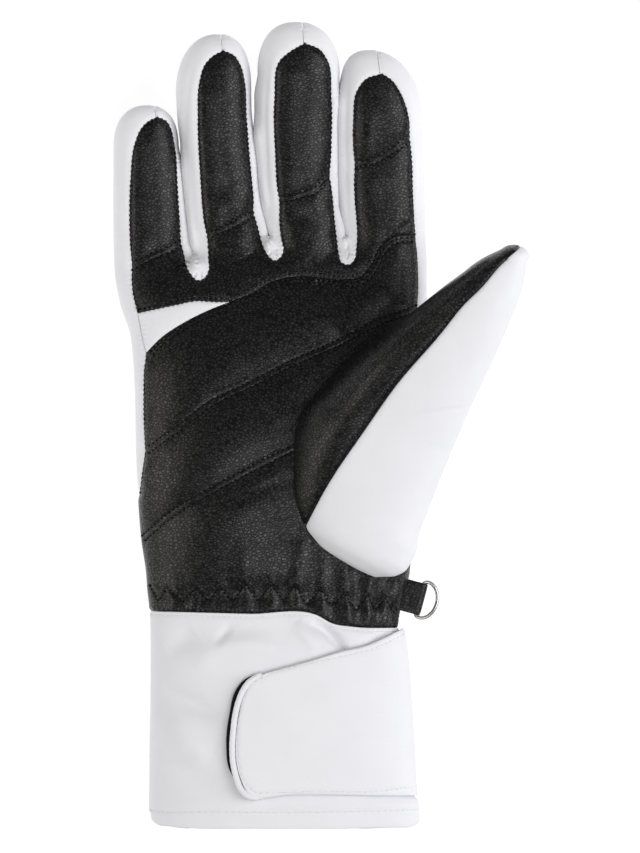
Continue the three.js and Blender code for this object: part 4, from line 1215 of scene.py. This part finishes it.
# %% Dress the cuff, the strap and the hook pad
CUFF_FOLDS = [
    (-2.9, 1.7, [(-3.6, -67.6), (2, -70.5), (5.4, -73.5), (9.4, -79.4)]),
    (1.6, 2.6, [(-9, -68), (-5, -72), (-1, -78)]),
    (1.0, 3, [(8, -68), (12, -71.5), (20, -73)]),
    (-0.8, 1.4, [(17.6, -75), (20.4, -73.2), (23, -71.8)]),
    (-2.2, 3.6, [(-57, -91.5), (-45, -96), (-33, -100.5)]),
    (1.9, 5, [(-54, -103), (-46, -109), (-37, -115)]),
    (-1.9, 4, [(-54, -78), (-49, -75), (-43, -71)]),
    (1.8, 4, [(-44, -84), (-36, -78), (-24, -75.6), (-14, -77)]),
    (-1.1, 1.6, [(-30.6, -68.6), (-33, -71.6), (-36.4, -76)]),
    (-1.2, 4, [(-56, -118), (-46, -120), (-36, -123)]),
    (0.3, 2, [(-18, -131), (0, -131), (20, -131)]),
]
STRAP_FOLDS = [
    (-0.35, 4, [(-20, -106), (0, -104), (22, -106)]),
    (0.3, 6, [(-18, -96), (0, -94), (20, -92)]),
    (0.3, 6, [(-18, -118), (0, -117), (20, -117)]),
]
EDGE_REACH = 2


def layer_form(side, rise):
    made = cuff_tube(side, rise)
    form = Blank(made)
    remove(made)
    return form


def dress_layer(part, form, edges, rows, folds):
    """Dresses a thin layer with seams at its edges, rows of stitches and folds."""
    def near(points):
        return np.minimum(edges.gap(points), rows.gap(points)) < EDGE_REACH

    def relief(points, normals):
        facing_up = fade(normals[:, 2], *FACING_UP)
        move = edges.seam(points) - rows.valley(points) * facing_up + folds.height(points) * facing_up
        return normals * move[:, None]

    dress(part, form, near, relief)


hem_row, cuff_row = smooth_line(HEM_ROW), offset_line(wrist_seam, CUFF_ROW_OFFSET)
strap_row = smooth_line(STRAP_ROW)
cuff_form, strap_form = layer_form(0, 0), layer_form(*strap_over)
points = get_points(closure_strap)
points[:, 2] -= STRAP["sag"] * rolled(Lines([(strap_bottom, 0, 0)]).gap(points) / STRAP["sag_reach"])
set_points(closure_strap, points)
dress_layer(cuff, cuff_form, Lines([(wrist_seam, 0.7, 1.6), (hem_edge, 0.8, 1.4)]),
            Lines([(hem_row, 0.22, 0.6), (cuff_row, 0.35, 0.6)]), Folds(CUFF_FOLDS))
strap_edges = Lines([(strap_top, 0.75, 1.5), (strap_bottom, 0.35, 1.2), (binding_edge, 0.35, 1)])
dress_layer(closure_strap, strap_form, strap_edges, Lines([(strap_row, 0.2, 0.6)]), Folds(STRAP_FOLDS))
print("faces of the dressed cuff and strap:", face_counts(cuff, closure_strap))

# %% [markdown]
# The last pieces follow a path: the rolled binding at the strap's end, the small leather tab folded round
# the bar of the ring, and the ring's wire. One function sweeps an oval section along a path for all three.

# %% Sweep an oval along a path
def swept(name, path, side, up, half_width, half_height, count=16, power=2, closed=False):
    """A closed skin: ovals across the path, whose half sizes may change along it."""
    angle = np.arange(count) * 2 * np.pi / count
    across, over = (np.sign(turn) * np.abs(turn) ** (2 / power) for turn in (np.cos(angle), np.sin(angle)))
    wide, high = (np.broadcast_to(half, len(path))[:, None, None] for half in (half_width, half_height))
    rings = path[:, None] + side[:, None] * across[:, None] * wide + up[:, None] * over[:, None] * high
    ring = np.arange(len(path) if closed else len(path) - 1)[:, None] * count
    following = (ring + count) % (len(path) * count)
    here = np.arange(count)
    after = (here + 1) % count
    quads = np.stack([ring + here, ring + after, following + after, following + here], axis=-1)
    faces = quads.reshape(-1, 4).tolist()
    if not closed:
        faces += [here[::-1], (len(path) - 1) * count + here]
    made = new_object(name, rings.reshape(-1, 3), faces)
    bm = bmesh.new()
    bm.from_mesh(made.data)
    bmesh.ops.recalc_face_normals(bm, faces=bm.faces)
    bm.to_mesh(made.data)
    bm.free()
    return made


def from_ends(path, stretch):
    """0 at both ends of a path and 1 from one stretch away on."""
    length = lengths_along(path)
    return np.clip(np.minimum(length, length[-1] - length) / stretch, 0, 1)


def on_form(line, form, lift):
    """Points straight above a flat line on a form, lifted along its normal, with the normals."""
    hits = drop(line, form.tree)
    normals = unit(form.face_normals[[hit[2] for hit in hits]])
    return np.array([hit[0] for hit in hits]) + normals * lift, normals


print("points of the strap's edge line:", len(binding_edge))

# %% [markdown]
# The binding runs round the strap's end, a fixed height above the cuff's form, and sinks into the strap at
# both ends. It swells a little between the stitches that hold it.

# %% The binding
BINDING_LINE = [(-19.6, -85.9), (-22, -87), (-24.4, -88.7), (-26.3, -91.4), (-27.9, -95.4), (-29, -100),
                (-29.6, -105), (-30, -111), (-29.7, -116.5), (-28.6, -121.5), (-26.9, -125.8), (-25, -128),
                (-21, -128.9)]
BINDING_TUBE = {"half_width": 1.05, "half_height": 1.3, "middle": 2.5, "pucker": 0.03, "pitch": 2.0,
                "sink": 1.3, "sink_length": 6, "end": 0.004}
binding_path, binding_up = on_form(smooth_line(BINDING_LINE), cuff_form, BINDING_TUBE["middle"])
binding_side = unit(np.cross(np.gradient(binding_path, axis=0), binding_up))
risen = np.sin(from_ends(binding_path, BINDING_TUBE["sink_length"]) * np.pi / 2)
binding_path = binding_path - binding_up * (BINDING_TUBE["sink"] * (1 - risen))[:, None]
wave = np.cos(2 * np.pi * lengths_along(binding_path) / BINDING_TUBE["pitch"])
share = from_ends(binding_path, BINDING_TUBE["half_width"])
thickness = np.sqrt(np.clip(1 - (1 - share) ** 2, BINDING_TUBE["end"], 1))
thickness *= 1 + BINDING_TUBE["pucker"] * wave
strap_binding = swept("strap_binding", binding_path, binding_side, binding_up,
                      BINDING_TUBE["half_width"] * thickness, BINDING_TUBE["half_height"] * thickness)
print("faces of the binding:", face_counts(strap_binding))

# %% [markdown]
# The tab and the ring are drawn in one frame whose origin is the ring's straight bar. The tab is a strip
# that turns round the bar, and the ring is a half round bow closed by the bar with two tight corners.

# %% The tab and the ring
TAB = {"width": 11.2, "half_thickness": 0.56, "length": 9, "turn": 1.22, "gap": 0.3, "steps": 20, "bends": 24}
TAB_SECTION = {"count": 32, "power": 5}
TAB_TURN = math.radians(-15)
RING = {"half_height": 6.35, "depth": 6.25, "wire": 0.65, "corner": 1.5, "bow_steps": 60, "bar_steps": 9}
CORNER_TURN = np.radians(np.linspace(15, 90, 6))
TAB_FRAME = Matrix.Translation(BAR_CENTRE) @ Matrix.Rotation(TAB_TURN, 4, "Z")
turn = np.radians(np.linspace(-90, 90, TAB["bends"]))
eye = np.stack([TAB["turn"] * np.cos(turn), np.zeros(TAB["bends"]), TAB["turn"] * np.sin(turn)], axis=1)
flat = np.linspace(-TAB["length"], -TAB["gap"], TAB["steps"])
tab_path = np.vstack([[(x, 0, -TAB["turn"]) for x in flat], eye, [(x, 0, TAB["turn"]) for x in flat[::-1]]])
tab_side = np.tile([0.0, 1, 0], (len(tab_path), 1))
tab_up = unit(np.cross(np.gradient(tab_path, axis=0), tab_side))
loop_tab = swept("loop_tab", tab_path, tab_side, tab_up, TAB["width"] / 2, TAB["half_thickness"],
                 **TAB_SECTION)

reach = RING["depth"] - RING["corner"]
bow = [(RING["corner"] + reach * math.cos(a), RING["half_height"] * math.sin(a))
       for a in np.radians(np.linspace(90, -90, RING["bow_steps"]))]
bar_end = RING["half_height"] - RING["corner"]
lower = [(RING["corner"] * (1 - math.sin(a)), -bar_end - RING["corner"] * math.cos(a)) for a in CORNER_TURN]
bar = [(0, y) for y in np.linspace(-bar_end, bar_end, RING["bar_steps"])[1:-1]]
upper = [(x, -y) for x, y in lower[::-1]]
ring_path = np.array([(x, y, 0.0) for x, y in [*bow, *lower, *bar, *upper]])
ring_along = np.roll(ring_path, -1, axis=0) - np.roll(ring_path, 1, axis=0)
ring_up = np.tile([0.0, 0, 1], (len(ring_path), 1))
d_ring = swept("d_ring", ring_path, unit(np.cross(ring_along, ring_up)), ring_up, RING["wire"], RING["wire"],
               closed=True)
for part in (loop_tab, d_ring):
    part.data.transform(TAB_FRAME)
print("faces of the tab and the ring:", face_counts(loop_tab, d_ring))

# %% [markdown]
# A finish is a small graph of nodes. Written as plain Python it reads like a sum: one class wraps the
# output of a node and gives it a plus and a times, and another adds any node to a material.

# %% Nodes as Python
def feed(tree, socket, value):
    """Links a wire or an output to a socket, or sets a plain value."""
    value = getattr(value, "socket", value)
    if isinstance(value, bpy.types.NodeSocket):
        tree.links.new(value, socket)
    else:
        socket.default_value = value


def add_node(tree, kind, sockets=(), **settings):
    """A node with its settings, and with a link or a value for each of the given sockets."""
    made = tree.nodes.new(kind)
    for title, value in settings.items():
        setattr(made, title, value)
    for socket, value in dict(sockets).items():
        feed(tree, made.inputs[socket], value)
    return made


class Wire:
    """An output of a node. Sums and products of wires and numbers become Math nodes."""

    def __init__(self, finish, socket):
        self.finish = finish
        self.socket = socket

    def maths(self, operation, other):
        return self.finish.node("Math", {0: self, 1: other}, operation=operation)

    def __add__(self, other):
        return self.maths("ADD", other)

    def __mul__(self, other):
        return self.maths("MULTIPLY", other)


class Finish:
    """A material with one shader, and the methods that add other nodes to it."""

    def __init__(self, title, **constants):
        self.material = bpy.data.materials.new(title)
        self.material.use_nodes = True
        self.tree = self.material.node_tree
        self.shade(**constants)

    def shade(self, **inputs):
        """Wires or constants for the shader's inputs."""
        shader = self.tree.nodes["Principled BSDF"]
        for title, value in inputs.items():
            feed(self.tree, shader.inputs[title.replace("_", " ")], value)
        return self.material

    def node(self, kind, sockets=(), output=0, **settings):
        return Wire(self, add_node(self.tree, "ShaderNode" + kind, sockets, **settings).outputs[output])

    def place(self, scale=(1, 1, 1)):
        """Millimetres on the piece, stretched by a scale."""
        coordinates = self.node("TexCoord", output="Object")
        factor = [value / MM for value in scale]
        return self.node("VectorMath", {0: coordinates, 1: factor}, operation="MULTIPLY")

    def mixed(self, share, first, second):
        """A colour between two colours, each of which may be a wire."""
        first, second = (colour if isinstance(colour, Wire) else (*colour, 1) for colour in (first, second))
        return self.node("Mix", {"Factor": share, 6: first, 7: second}, 2, data_type="RGBA")

    def between(self, value, low, high, to_low=0.0, to_high=1.0):
        """A value mapped smoothly from one range to another, and held at its ends."""
        sockets = {"Value": value, "From Min": low, "From Max": high, "To Min": to_low, "To Max": to_high}
        return self.node("MapRange", sockets, interpolation_type="SMOOTHSTEP")

    def noise(self, place, size, detail=2.0):
        return self.node("TexNoise", {"Vector": place, "Scale": 1 / size, "Detail": detail})

    def bump(self, height, distance, strength=1.0):
        return self.node("Bump", {"Height": height, "Distance": distance, "Strength": strength})


def darker(colour, share):
    return tuple(channel * share for channel in colour)


print("materials so far:", len(bpy.data.materials))

# %% [markdown]
# There are five finishes. The strap's white differs a little in tint and weave; the white of the cuff and the
# thumb is the fingers' cloth with a coarser weave, painted darker as shade. The leather's light comes from
# its thin coat, which lies on the pebbles and not in the cracks.

# %% The finishes
NOISE_RANGE = (0.3, 0.7)


def softshell(title, colour, weave):
    """Matt white cloth: a very fine weave whose grooves are painted a little darker as shade, slightly
    uneven, a little darker in soft random clouds.
    """
    made = Finish(title, Roughness=0.8, Sheen_Weight=0.1, Specular_IOR_Level=0.25)
    place = made.place()
    sockets = {"Vector": place, "Scale": 0.5 / weave, "Distortion": 1.2, "Detail": 1, "Detail Scale": 2}
    warp, weft = (made.node("TexWave", sockets, bands_direction=way) for way in "XY")
    cloth = warp * weft + made.noise(place, 0.7) * 0.5
    cloud = made.between(made.noise(place, 14, 3), 0.25, 0.75, 0.6, 1)
    dark = darker(colour, 0.93)
    # The weave's grooves get a little of the darker tint, as painted shade; the soft clouds are random tone.
    tint = made.mixed(made.between(cloth, 0.1, 0.9, 0.8, 1.0), dark, made.mixed(cloud, dark, colour))
    return made.shade(Base_Color=tint, Normal=made.bump(cloth, 0.00006, 0.6))


def leather(title, stretch=(1, 1.35, 1), size=1.25):
    """Black coated leather: glossy pebbles between dull narrow cracks, drawn out where it bends."""
    made = Finish(title, Specular_IOR_Level=0.14, Coat_IOR=1.38, Coat_Roughness=0.31)
    flat = made.place(stretch)
    wander = made.node("TexNoise", {"Vector": flat, "Scale": 0.35, "Detail": 2}, 1)
    place = made.node("VectorMath", {0: wander, 1: (1.6, 1.6, 1.6), 2: flat}, operation="MULTIPLY_ADD")
    edge = made.node("TexVoronoi", {"Vector": place, "Scale": 1 / size}, feature="DISTANCE_TO_EDGE")
    pebble = made.between(edge, 0, 0.34)
    fine = made.noise(place, 0.7, 3)
    soft = made.noise(made.place(), 7, 2)
    # The cracks are darker than the pebbles: partly the grain's own tone, partly painted shade in the cracks.
    tint = made.mixed(pebble, (0.003, 0.003, 0.003), (0.016, 0.016, 0.016))
    rough = made.between(soft, *NOISE_RANGE, 0.26, 0.34)
    shine = pebble * made.between(soft, *NOISE_RANGE, 0.75, 1) * made.between(fine, 0.34, 0.62, 0.45, 1.1)
    grain = made.bump(pebble + fine * 0.6, 0.00006)
    return made.shade(Base_Color=tint, Roughness=rough, Coat_Weight=shine, Normal=grain)


def thread(title, colour):
    """Twisted thread: fine slanted plies, painted lighter on their crowns and darker between them, as painted
    highlight and painted shade.
    """
    made = Finish(title, Roughness=0.8, Specular_IOR_Level=0.1)
    plies = made.node("TexWave", {"Vector": made.place(), "Scale": 2}, bands_direction="DIAGONAL")
    # Crowns painted lighter and grooves darker: painted highlight and painted shade.
    tint = made.mixed(plies, darker(colour, 0.7), colour)
    return made.shade(Base_Color=tint, Normal=made.bump(plies, 0.00004))


def hook_tape(title):
    """Hook tape: a dull black mat of tiny hooks with grey lint caught in it."""
    made = Finish(title, Roughness=0.9, Specular_IOR_Level=0.15)
    hooks = made.node("TexVoronoi", {"Vector": made.place(), "Scale": 1.6})
    lint = made.between(made.noise(made.place(), 1.2, 4), 0.62, 0.72)
    tint = made.mixed(lint, (0.008, 0.008, 0.008), (0.06, 0.06, 0.06))
    return made.shade(Base_Color=tint, Normal=made.bump(hooks, 0.0003))


def plated(title):
    """Plated wire: bright, with fine scratches and duller patches where it rubs. Its tint is kept darker than
    bare plate, as a painted dark reflection.
    """
    made = Finish(title, Metallic=1)
    rub = made.noise(made.place(), 2.5, 3)
    scratch = made.noise(made.place((6, 0.6, 6)), 1, 2)
    # The tint stays darker than bare plate, as a painted dark reflection; the rubbed patches are random wear.
    tint = made.mixed(rub, (0.36, 0.34, 0.33), (0.5, 0.48, 0.47))
    return made.shade(Base_Color=tint, Roughness=made.between(rub, *NOISE_RANGE, 0.12, 0.26),
                      Normal=made.bump(scratch, 0.00002))


white = softshell("white_softshell", (0.81, 0.81, 0.842), 0.5)
# The cuff's and the thumb's white is the fingers' cloth painted darker, as painted shade.
shaded_softshell = softshell("white_softshell_painted_shade", (0.745, 0.745, 0.777), 0.6)
strap_white = softshell("white_strap", (0.755, 0.755, 0.787), 0.7)
black = leather("black_leather")
tape, metal = hook_tape("hook_tape"), plated("ring_metal")
thread_black = thread("thread_black", (0.002, 0.002, 0.002))
thread_white = thread("thread_white", (0.84, 0.84, 0.86))
print("materials:", [material.name for material in bpy.data.materials])

# %% [markdown]
# Every seam shows its thread. Hundreds of equal stitches along a path are a job for Geometry Nodes: the
# path is resampled at the stitch length, one small oval is put on each point, lying along the path and on
# the surface, and the copies are made real. A path is a line of the pattern, dropped onto its panel.

# %% One tree that sews a row
SIZES = ("Pitch", "Length", "Width", "Height")
OVAL = {"Segments": 8, "Rings": 6, "Radius": 0.5}


def stitch_tree():
    """Geometry Nodes: ovals along a path, turned by its direction and by the surface's normal."""
    tree = bpy.data.node_groups.new("stitches", "GeometryNodeTree")
    kinds = {"Path": "Geometry", **dict.fromkeys(SIZES, "Float"), "Thread": "Material"}
    for title, kind in kinds.items():
        tree.interface.new_socket(title, in_out="INPUT", socket_type="NodeSocket" + kind)
    tree.interface.new_socket("Stitches", in_out="OUTPUT", socket_type="NodeSocketGeometry")

    def add(kind, sockets=(), **settings):
        return add_node(tree, kind, sockets, **settings).outputs[0]

    given = tree.nodes.new("NodeGroupInput").outputs
    curve = add("GeometryNodeMeshToCurve", {"Mesh": given["Path"]})
    even = add("GeometryNodeResampleCurve", {"Curve": curve, "Length": given["Pitch"]}, mode="LENGTH")
    size = add("ShaderNodeCombineXYZ", {"X": given["Length"], "Y": given["Width"], "Z": given["Height"]})
    oval = add("GeometryNodeTransform", {"Geometry": add("GeometryNodeMeshUVSphere", OVAL), "Scale": size})
    normal = add("GeometryNodeInputNamedAttribute", {"Name": "surface"}, data_type="FLOAT_VECTOR")
    axes = {"Primary Axis": add("GeometryNodeInputTangent"), "Secondary Axis": normal}
    turn = add("FunctionNodeAxesToRotation", axes, primary_axis="X", secondary_axis="Z")
    placed = add("GeometryNodeInstanceOnPoints", {"Points": even, "Instance": oval, "Rotation": turn})
    real = add("GeometryNodeRealizeInstances", {"Geometry": placed})
    smooth = add("GeometryNodeSetShadeSmooth", {"Geometry": real})
    sewn = add("GeometryNodeSetMaterial", {"Geometry": smooth, "Material": given["Thread"]})
    add_node(tree, "NodeGroupOutput", {"Stitches": sewn})
    return tree


STITCH_TREE = stitch_tree()
STITCH_INPUTS = {item.name: item.identifier for item in STITCH_TREE.interface.items_tree
                 if item.in_out == "INPUT"}
print("inputs of the stitch tree:", sorted(STITCH_INPUTS))

# %% [markdown]
# A row of stitches is a line of the pattern, dropped onto its panel. It may leave the panel and come back,
# so it can fall into several paths. Their heights are evened out over a few points, or the thread
# would copy every small facet below it.

# %% Paths on the panels, and the thread along them
SHORTEST_PATH = 8
EVENED = np.arange(-3, 4)


def laid_on(lines, panel, form, lift):
    """Paths on a panel: where a ray from above meets it, with the surface normals of the smooth form."""
    tree = skin_tree(panel)
    paths = []
    for line in lines:
        hits = drop(line, tree)
        met = np.array([hit[0] is not None for hit in hits]).astype(int)
        ends = np.flatnonzero(np.diff(np.concatenate([[0], met, [0]])))
        for first, last in zip(ends[::2], ends[1::2]):
            if last - first < SHORTEST_PATH:
                continue
            points = np.array([hit[0] for hit in hits[first:last]])
            normals = form.look_up(points)[1]
            index = np.clip(np.arange(len(points))[:, None] + EVENED, 0, len(points) - 1)
            points[:, 2] = points[index, 2].mean(axis=1)
            paths.append((points + normals * lift, normals))
    return paths


def sew(name, paths, stitch, thread):
    """Thread along paths. A stitch is its pitch, length, width and height."""
    points, normals = (np.vstack(columns) for columns in zip(*paths))
    starts = np.cumsum([0] + [len(path) for path, normal in paths])
    edges = [(k, k + 1) for first, last in zip(starts[:-1], starts[1:]) for k in range(first, last - 1)]
    mesh = bpy.data.meshes.new(name)
    mesh.from_pydata(points.tolist(), edges, [])
    mesh.attributes.new("surface", "FLOAT_VECTOR", "POINT").data.foreach_set("vector", normals.ravel())
    row = link(name, mesh)
    nodes = row.modifiers.new("sew", "NODES")
    nodes.node_group = STITCH_TREE
    for title, value in [*zip(SIZES, stitch), ("Thread", thread)]:
        nodes[STITCH_INPUTS[title]] = value
    apply_modifiers(row)
    return row


def rows_of(*titles):
    return [row for title in titles for row in stitch_rows[title]]


EDGE_OFFSET = 0.75
edge_rows = [offset_line(line, EDGE_OFFSET)[TRIM] for line in finger_lines]
left_row, thumb_row = (offset_line(line, -EDGE_OFFSET)[TRIM] for line in (lower_left_edge, thumb_seam))
print("rows along the edges:", len(edge_rows) + 2)

# %% [markdown]
# Each kind of stitch gets one object with all its rows. A row of the table holds the stitch's pitch, length,
# width and height, the thread, how far it lies above the surface, and the rows on each panel.

# %% Sew the rows
STITCHES = {
    "palm_thread": ((1.9, 1.2, 0.6, 0.4), thread_black, 0.02, [
        (rows_of(*FINGER_LEATHER, "insert_edge"), upper_leather, hand_form),
        (rows_of("palm_upper", "palm_lower", "palm_seam"), lower_leather, hand_form)]),
    "zigzag_thread": ((1.6, 1.2, 0.45, 0.35), thread_black, 0.1, [([zigzag_row], lower_leather, hand_form)]),
    "edge_thread": ((1.5, 0.9, 0.5, 0.35), thread_black, -0.02, [
        (edge_rows, upper_leather, hand_form), ([left_row], lower_leather, hand_form),
        ([thumb_row], thumb_leather, thumb_form)]),
    "cuff_thread": ((1.9, 1.3, 0.4, 0.3), thread_white, 0.04, [([cuff_row], cuff, cuff_form)]),
    "hem_thread": ((2.4, 1.9, 0.45, 0.35), thread_white, 0.04, [([hem_row], cuff, cuff_form)]),
    "strap_thread": ((2.0, 1.4, 0.45, 0.35), thread_white, 0.04, [([strap_row], closure_strap, strap_form)]),
}
threads = []
for name, (stitch, colour, lift, rows) in STITCHES.items():
    paths = [path for lines, panel, form in rows for path in laid_on(lines, panel, form, lift)]
    threads.append(sew(name, paths, stitch, colour))
print("faces of the threads:", dict(zip(STITCHES, face_counts(*threads))))

# %% [markdown]
# Every piece is now scaled to metres and moved into the frame. It gets its finish, rides on its body and says
# which solid of the frame it stands for. The blanks go, and so does anything that Blender's own start scene
# left.

# %% Finish every piece
TO_FRAME = Matrix.Scale(MM, 4) @ Matrix.Translation(SHIFT)
SHARP = math.radians(60)
PIECES = [
    (back_panel, "back_panel", "white_softshell", white),
    *[(part, title, "white_softshell", white) for part, title in zip(sides, SIDE_TITLES)],
    (upper_leather, "upper_palm_leather", "black_leather", black),
    (lower_leather, "lower_palm_leather", "black_leather", black),
    (thumb_shell, "thumb_shell", "white_softshell", shaded_softshell),
    (thumb_leather, "thumb_leather", "black_leather", black),
    (cuff, "cuff", "white_softshell", shaded_softshell),
    (closure_strap, "closure_strap", "white_strap", strap_white),
    (strap_binding, "strap_binding", "white_strap", strap_white),
    (hook_pad, "hook_pad", "hook_tape", tape),
    (loop_tab, "loop_tab", "black_leather", black),
    (d_ring, "d_ring", "ring_metal", metal),
]
for part, title, slot, material in PIECES:
    part.data.transform(TO_FRAME)
    part.name = part.data.name = title + "_shaped"
    part.data.materials.clear()
    part.data.materials.append(material)
    part.data.polygons.foreach_set("use_smooth", [True] * len(part.data.polygons))
    part.data.set_sharp_from_angle(angle=SHARP)
    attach(part, RING_BODY if title == "d_ring" else GLOVE_BODY)
    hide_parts(title)
for row in threads:
    row.data.transform(TO_FRAME)
    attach(row, GLOVE_BODY)
remove(hand_blank, thumb_blank)
for made in [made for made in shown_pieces() if body_of(made) is None]:
    remove(made)
print("pieces:", len(PIECES), "and threads:", len(threads))

# %% [markdown]
# The camera is far away with a long lens, straight above the glove, as in the photograph. The floor
# glows softly and turns white, one large lamp from the right lights the palm, and two weaker lamps fill
# in from the left and the front.

# %% The floor, the light and the camera
PICTURE_ROWS = 853
ROW_HEIGHT = 0.3465
CAMERA = {"lens": 800, "sensor": 36, "picture_height": PICTURE_ROWS * ROW_HEIGHT * MM, "level": 0.022,
          "lower": 0.17, "clip_end": 100}
FLOOR_HALF = 10
WORLD_STRENGTH = 0.25
LIGHTS = {
    "key": {"at": (0.96, 0.02, 0.96), "size": 1.2, "power": 14.6, "colour": (1, 1, 1)},
    "fill": {"at": (-1.25, -0.16, 0.62), "size": 1.1, "power": 8.0, "colour": (1, 0.97, 0.92)},
    "front": {"at": (0.04, -0.5, 1.35), "size": 0.6, "power": 4.4, "colour": (1, 1, 1)},
}
camera = link("camera", bpy.data.cameras.new("camera"))
camera.data.lens = CAMERA["lens"]
camera.data.sensor_width = CAMERA["sensor"]
camera.data.clip_end = CAMERA["clip_end"]
rise = CAMERA["picture_height"] / 2 / (CAMERA["sensor"] / 2 / CAMERA["lens"])
camera.location = (SHIFT.x * MM, (SHIFT.y - CAMERA["lower"]) * MM, CAMERA["level"] + rise)
bpy.context.scene.camera = camera

corners = [(x * FLOOR_HALF, y * FLOOR_HALF, 0) for x, y in ((-1, -1), (1, -1), (1, 1), (-1, 1))]
floor = new_object("floor", corners, [(0, 1, 2, 3)])
floor.data.materials.append(Finish("floor", Base_Color=(0.3, 0.3, 0.3, 1), Roughness=0.9,
                                   Emission_Color=(1, 1, 1, 1), Emission_Strength=0.79).material)

middle = (Vector(cad_box[0]) + Vector(cad_box[1])) / 2
for title, light in LIGHTS.items():
    made = link(title, bpy.data.lights.new(title, "AREA"))
    made.data.shape = "DISK"
    made.data.size = light["size"]
    made.data.energy = light["power"]
    made.data.color = light["colour"]
    made.location = light["at"]
    made.rotation_euler = (middle - made.location).to_track_quat("-Z", "Y").to_euler()
world = bpy.context.scene.world or bpy.data.worlds.new("world")
bpy.context.scene.world = world
world.use_nodes = True
background = world.node_tree.nodes["Background"]
background.inputs["Color"].default_value = (1, 1, 1, 1)
background.inputs["Strength"].default_value = WORLD_STRENGTH
bpy.context.scene.view_settings.view_transform = "Standard"
print("camera height in m:", round(camera.location.z, 2), "lamps:", list(LIGHTS))
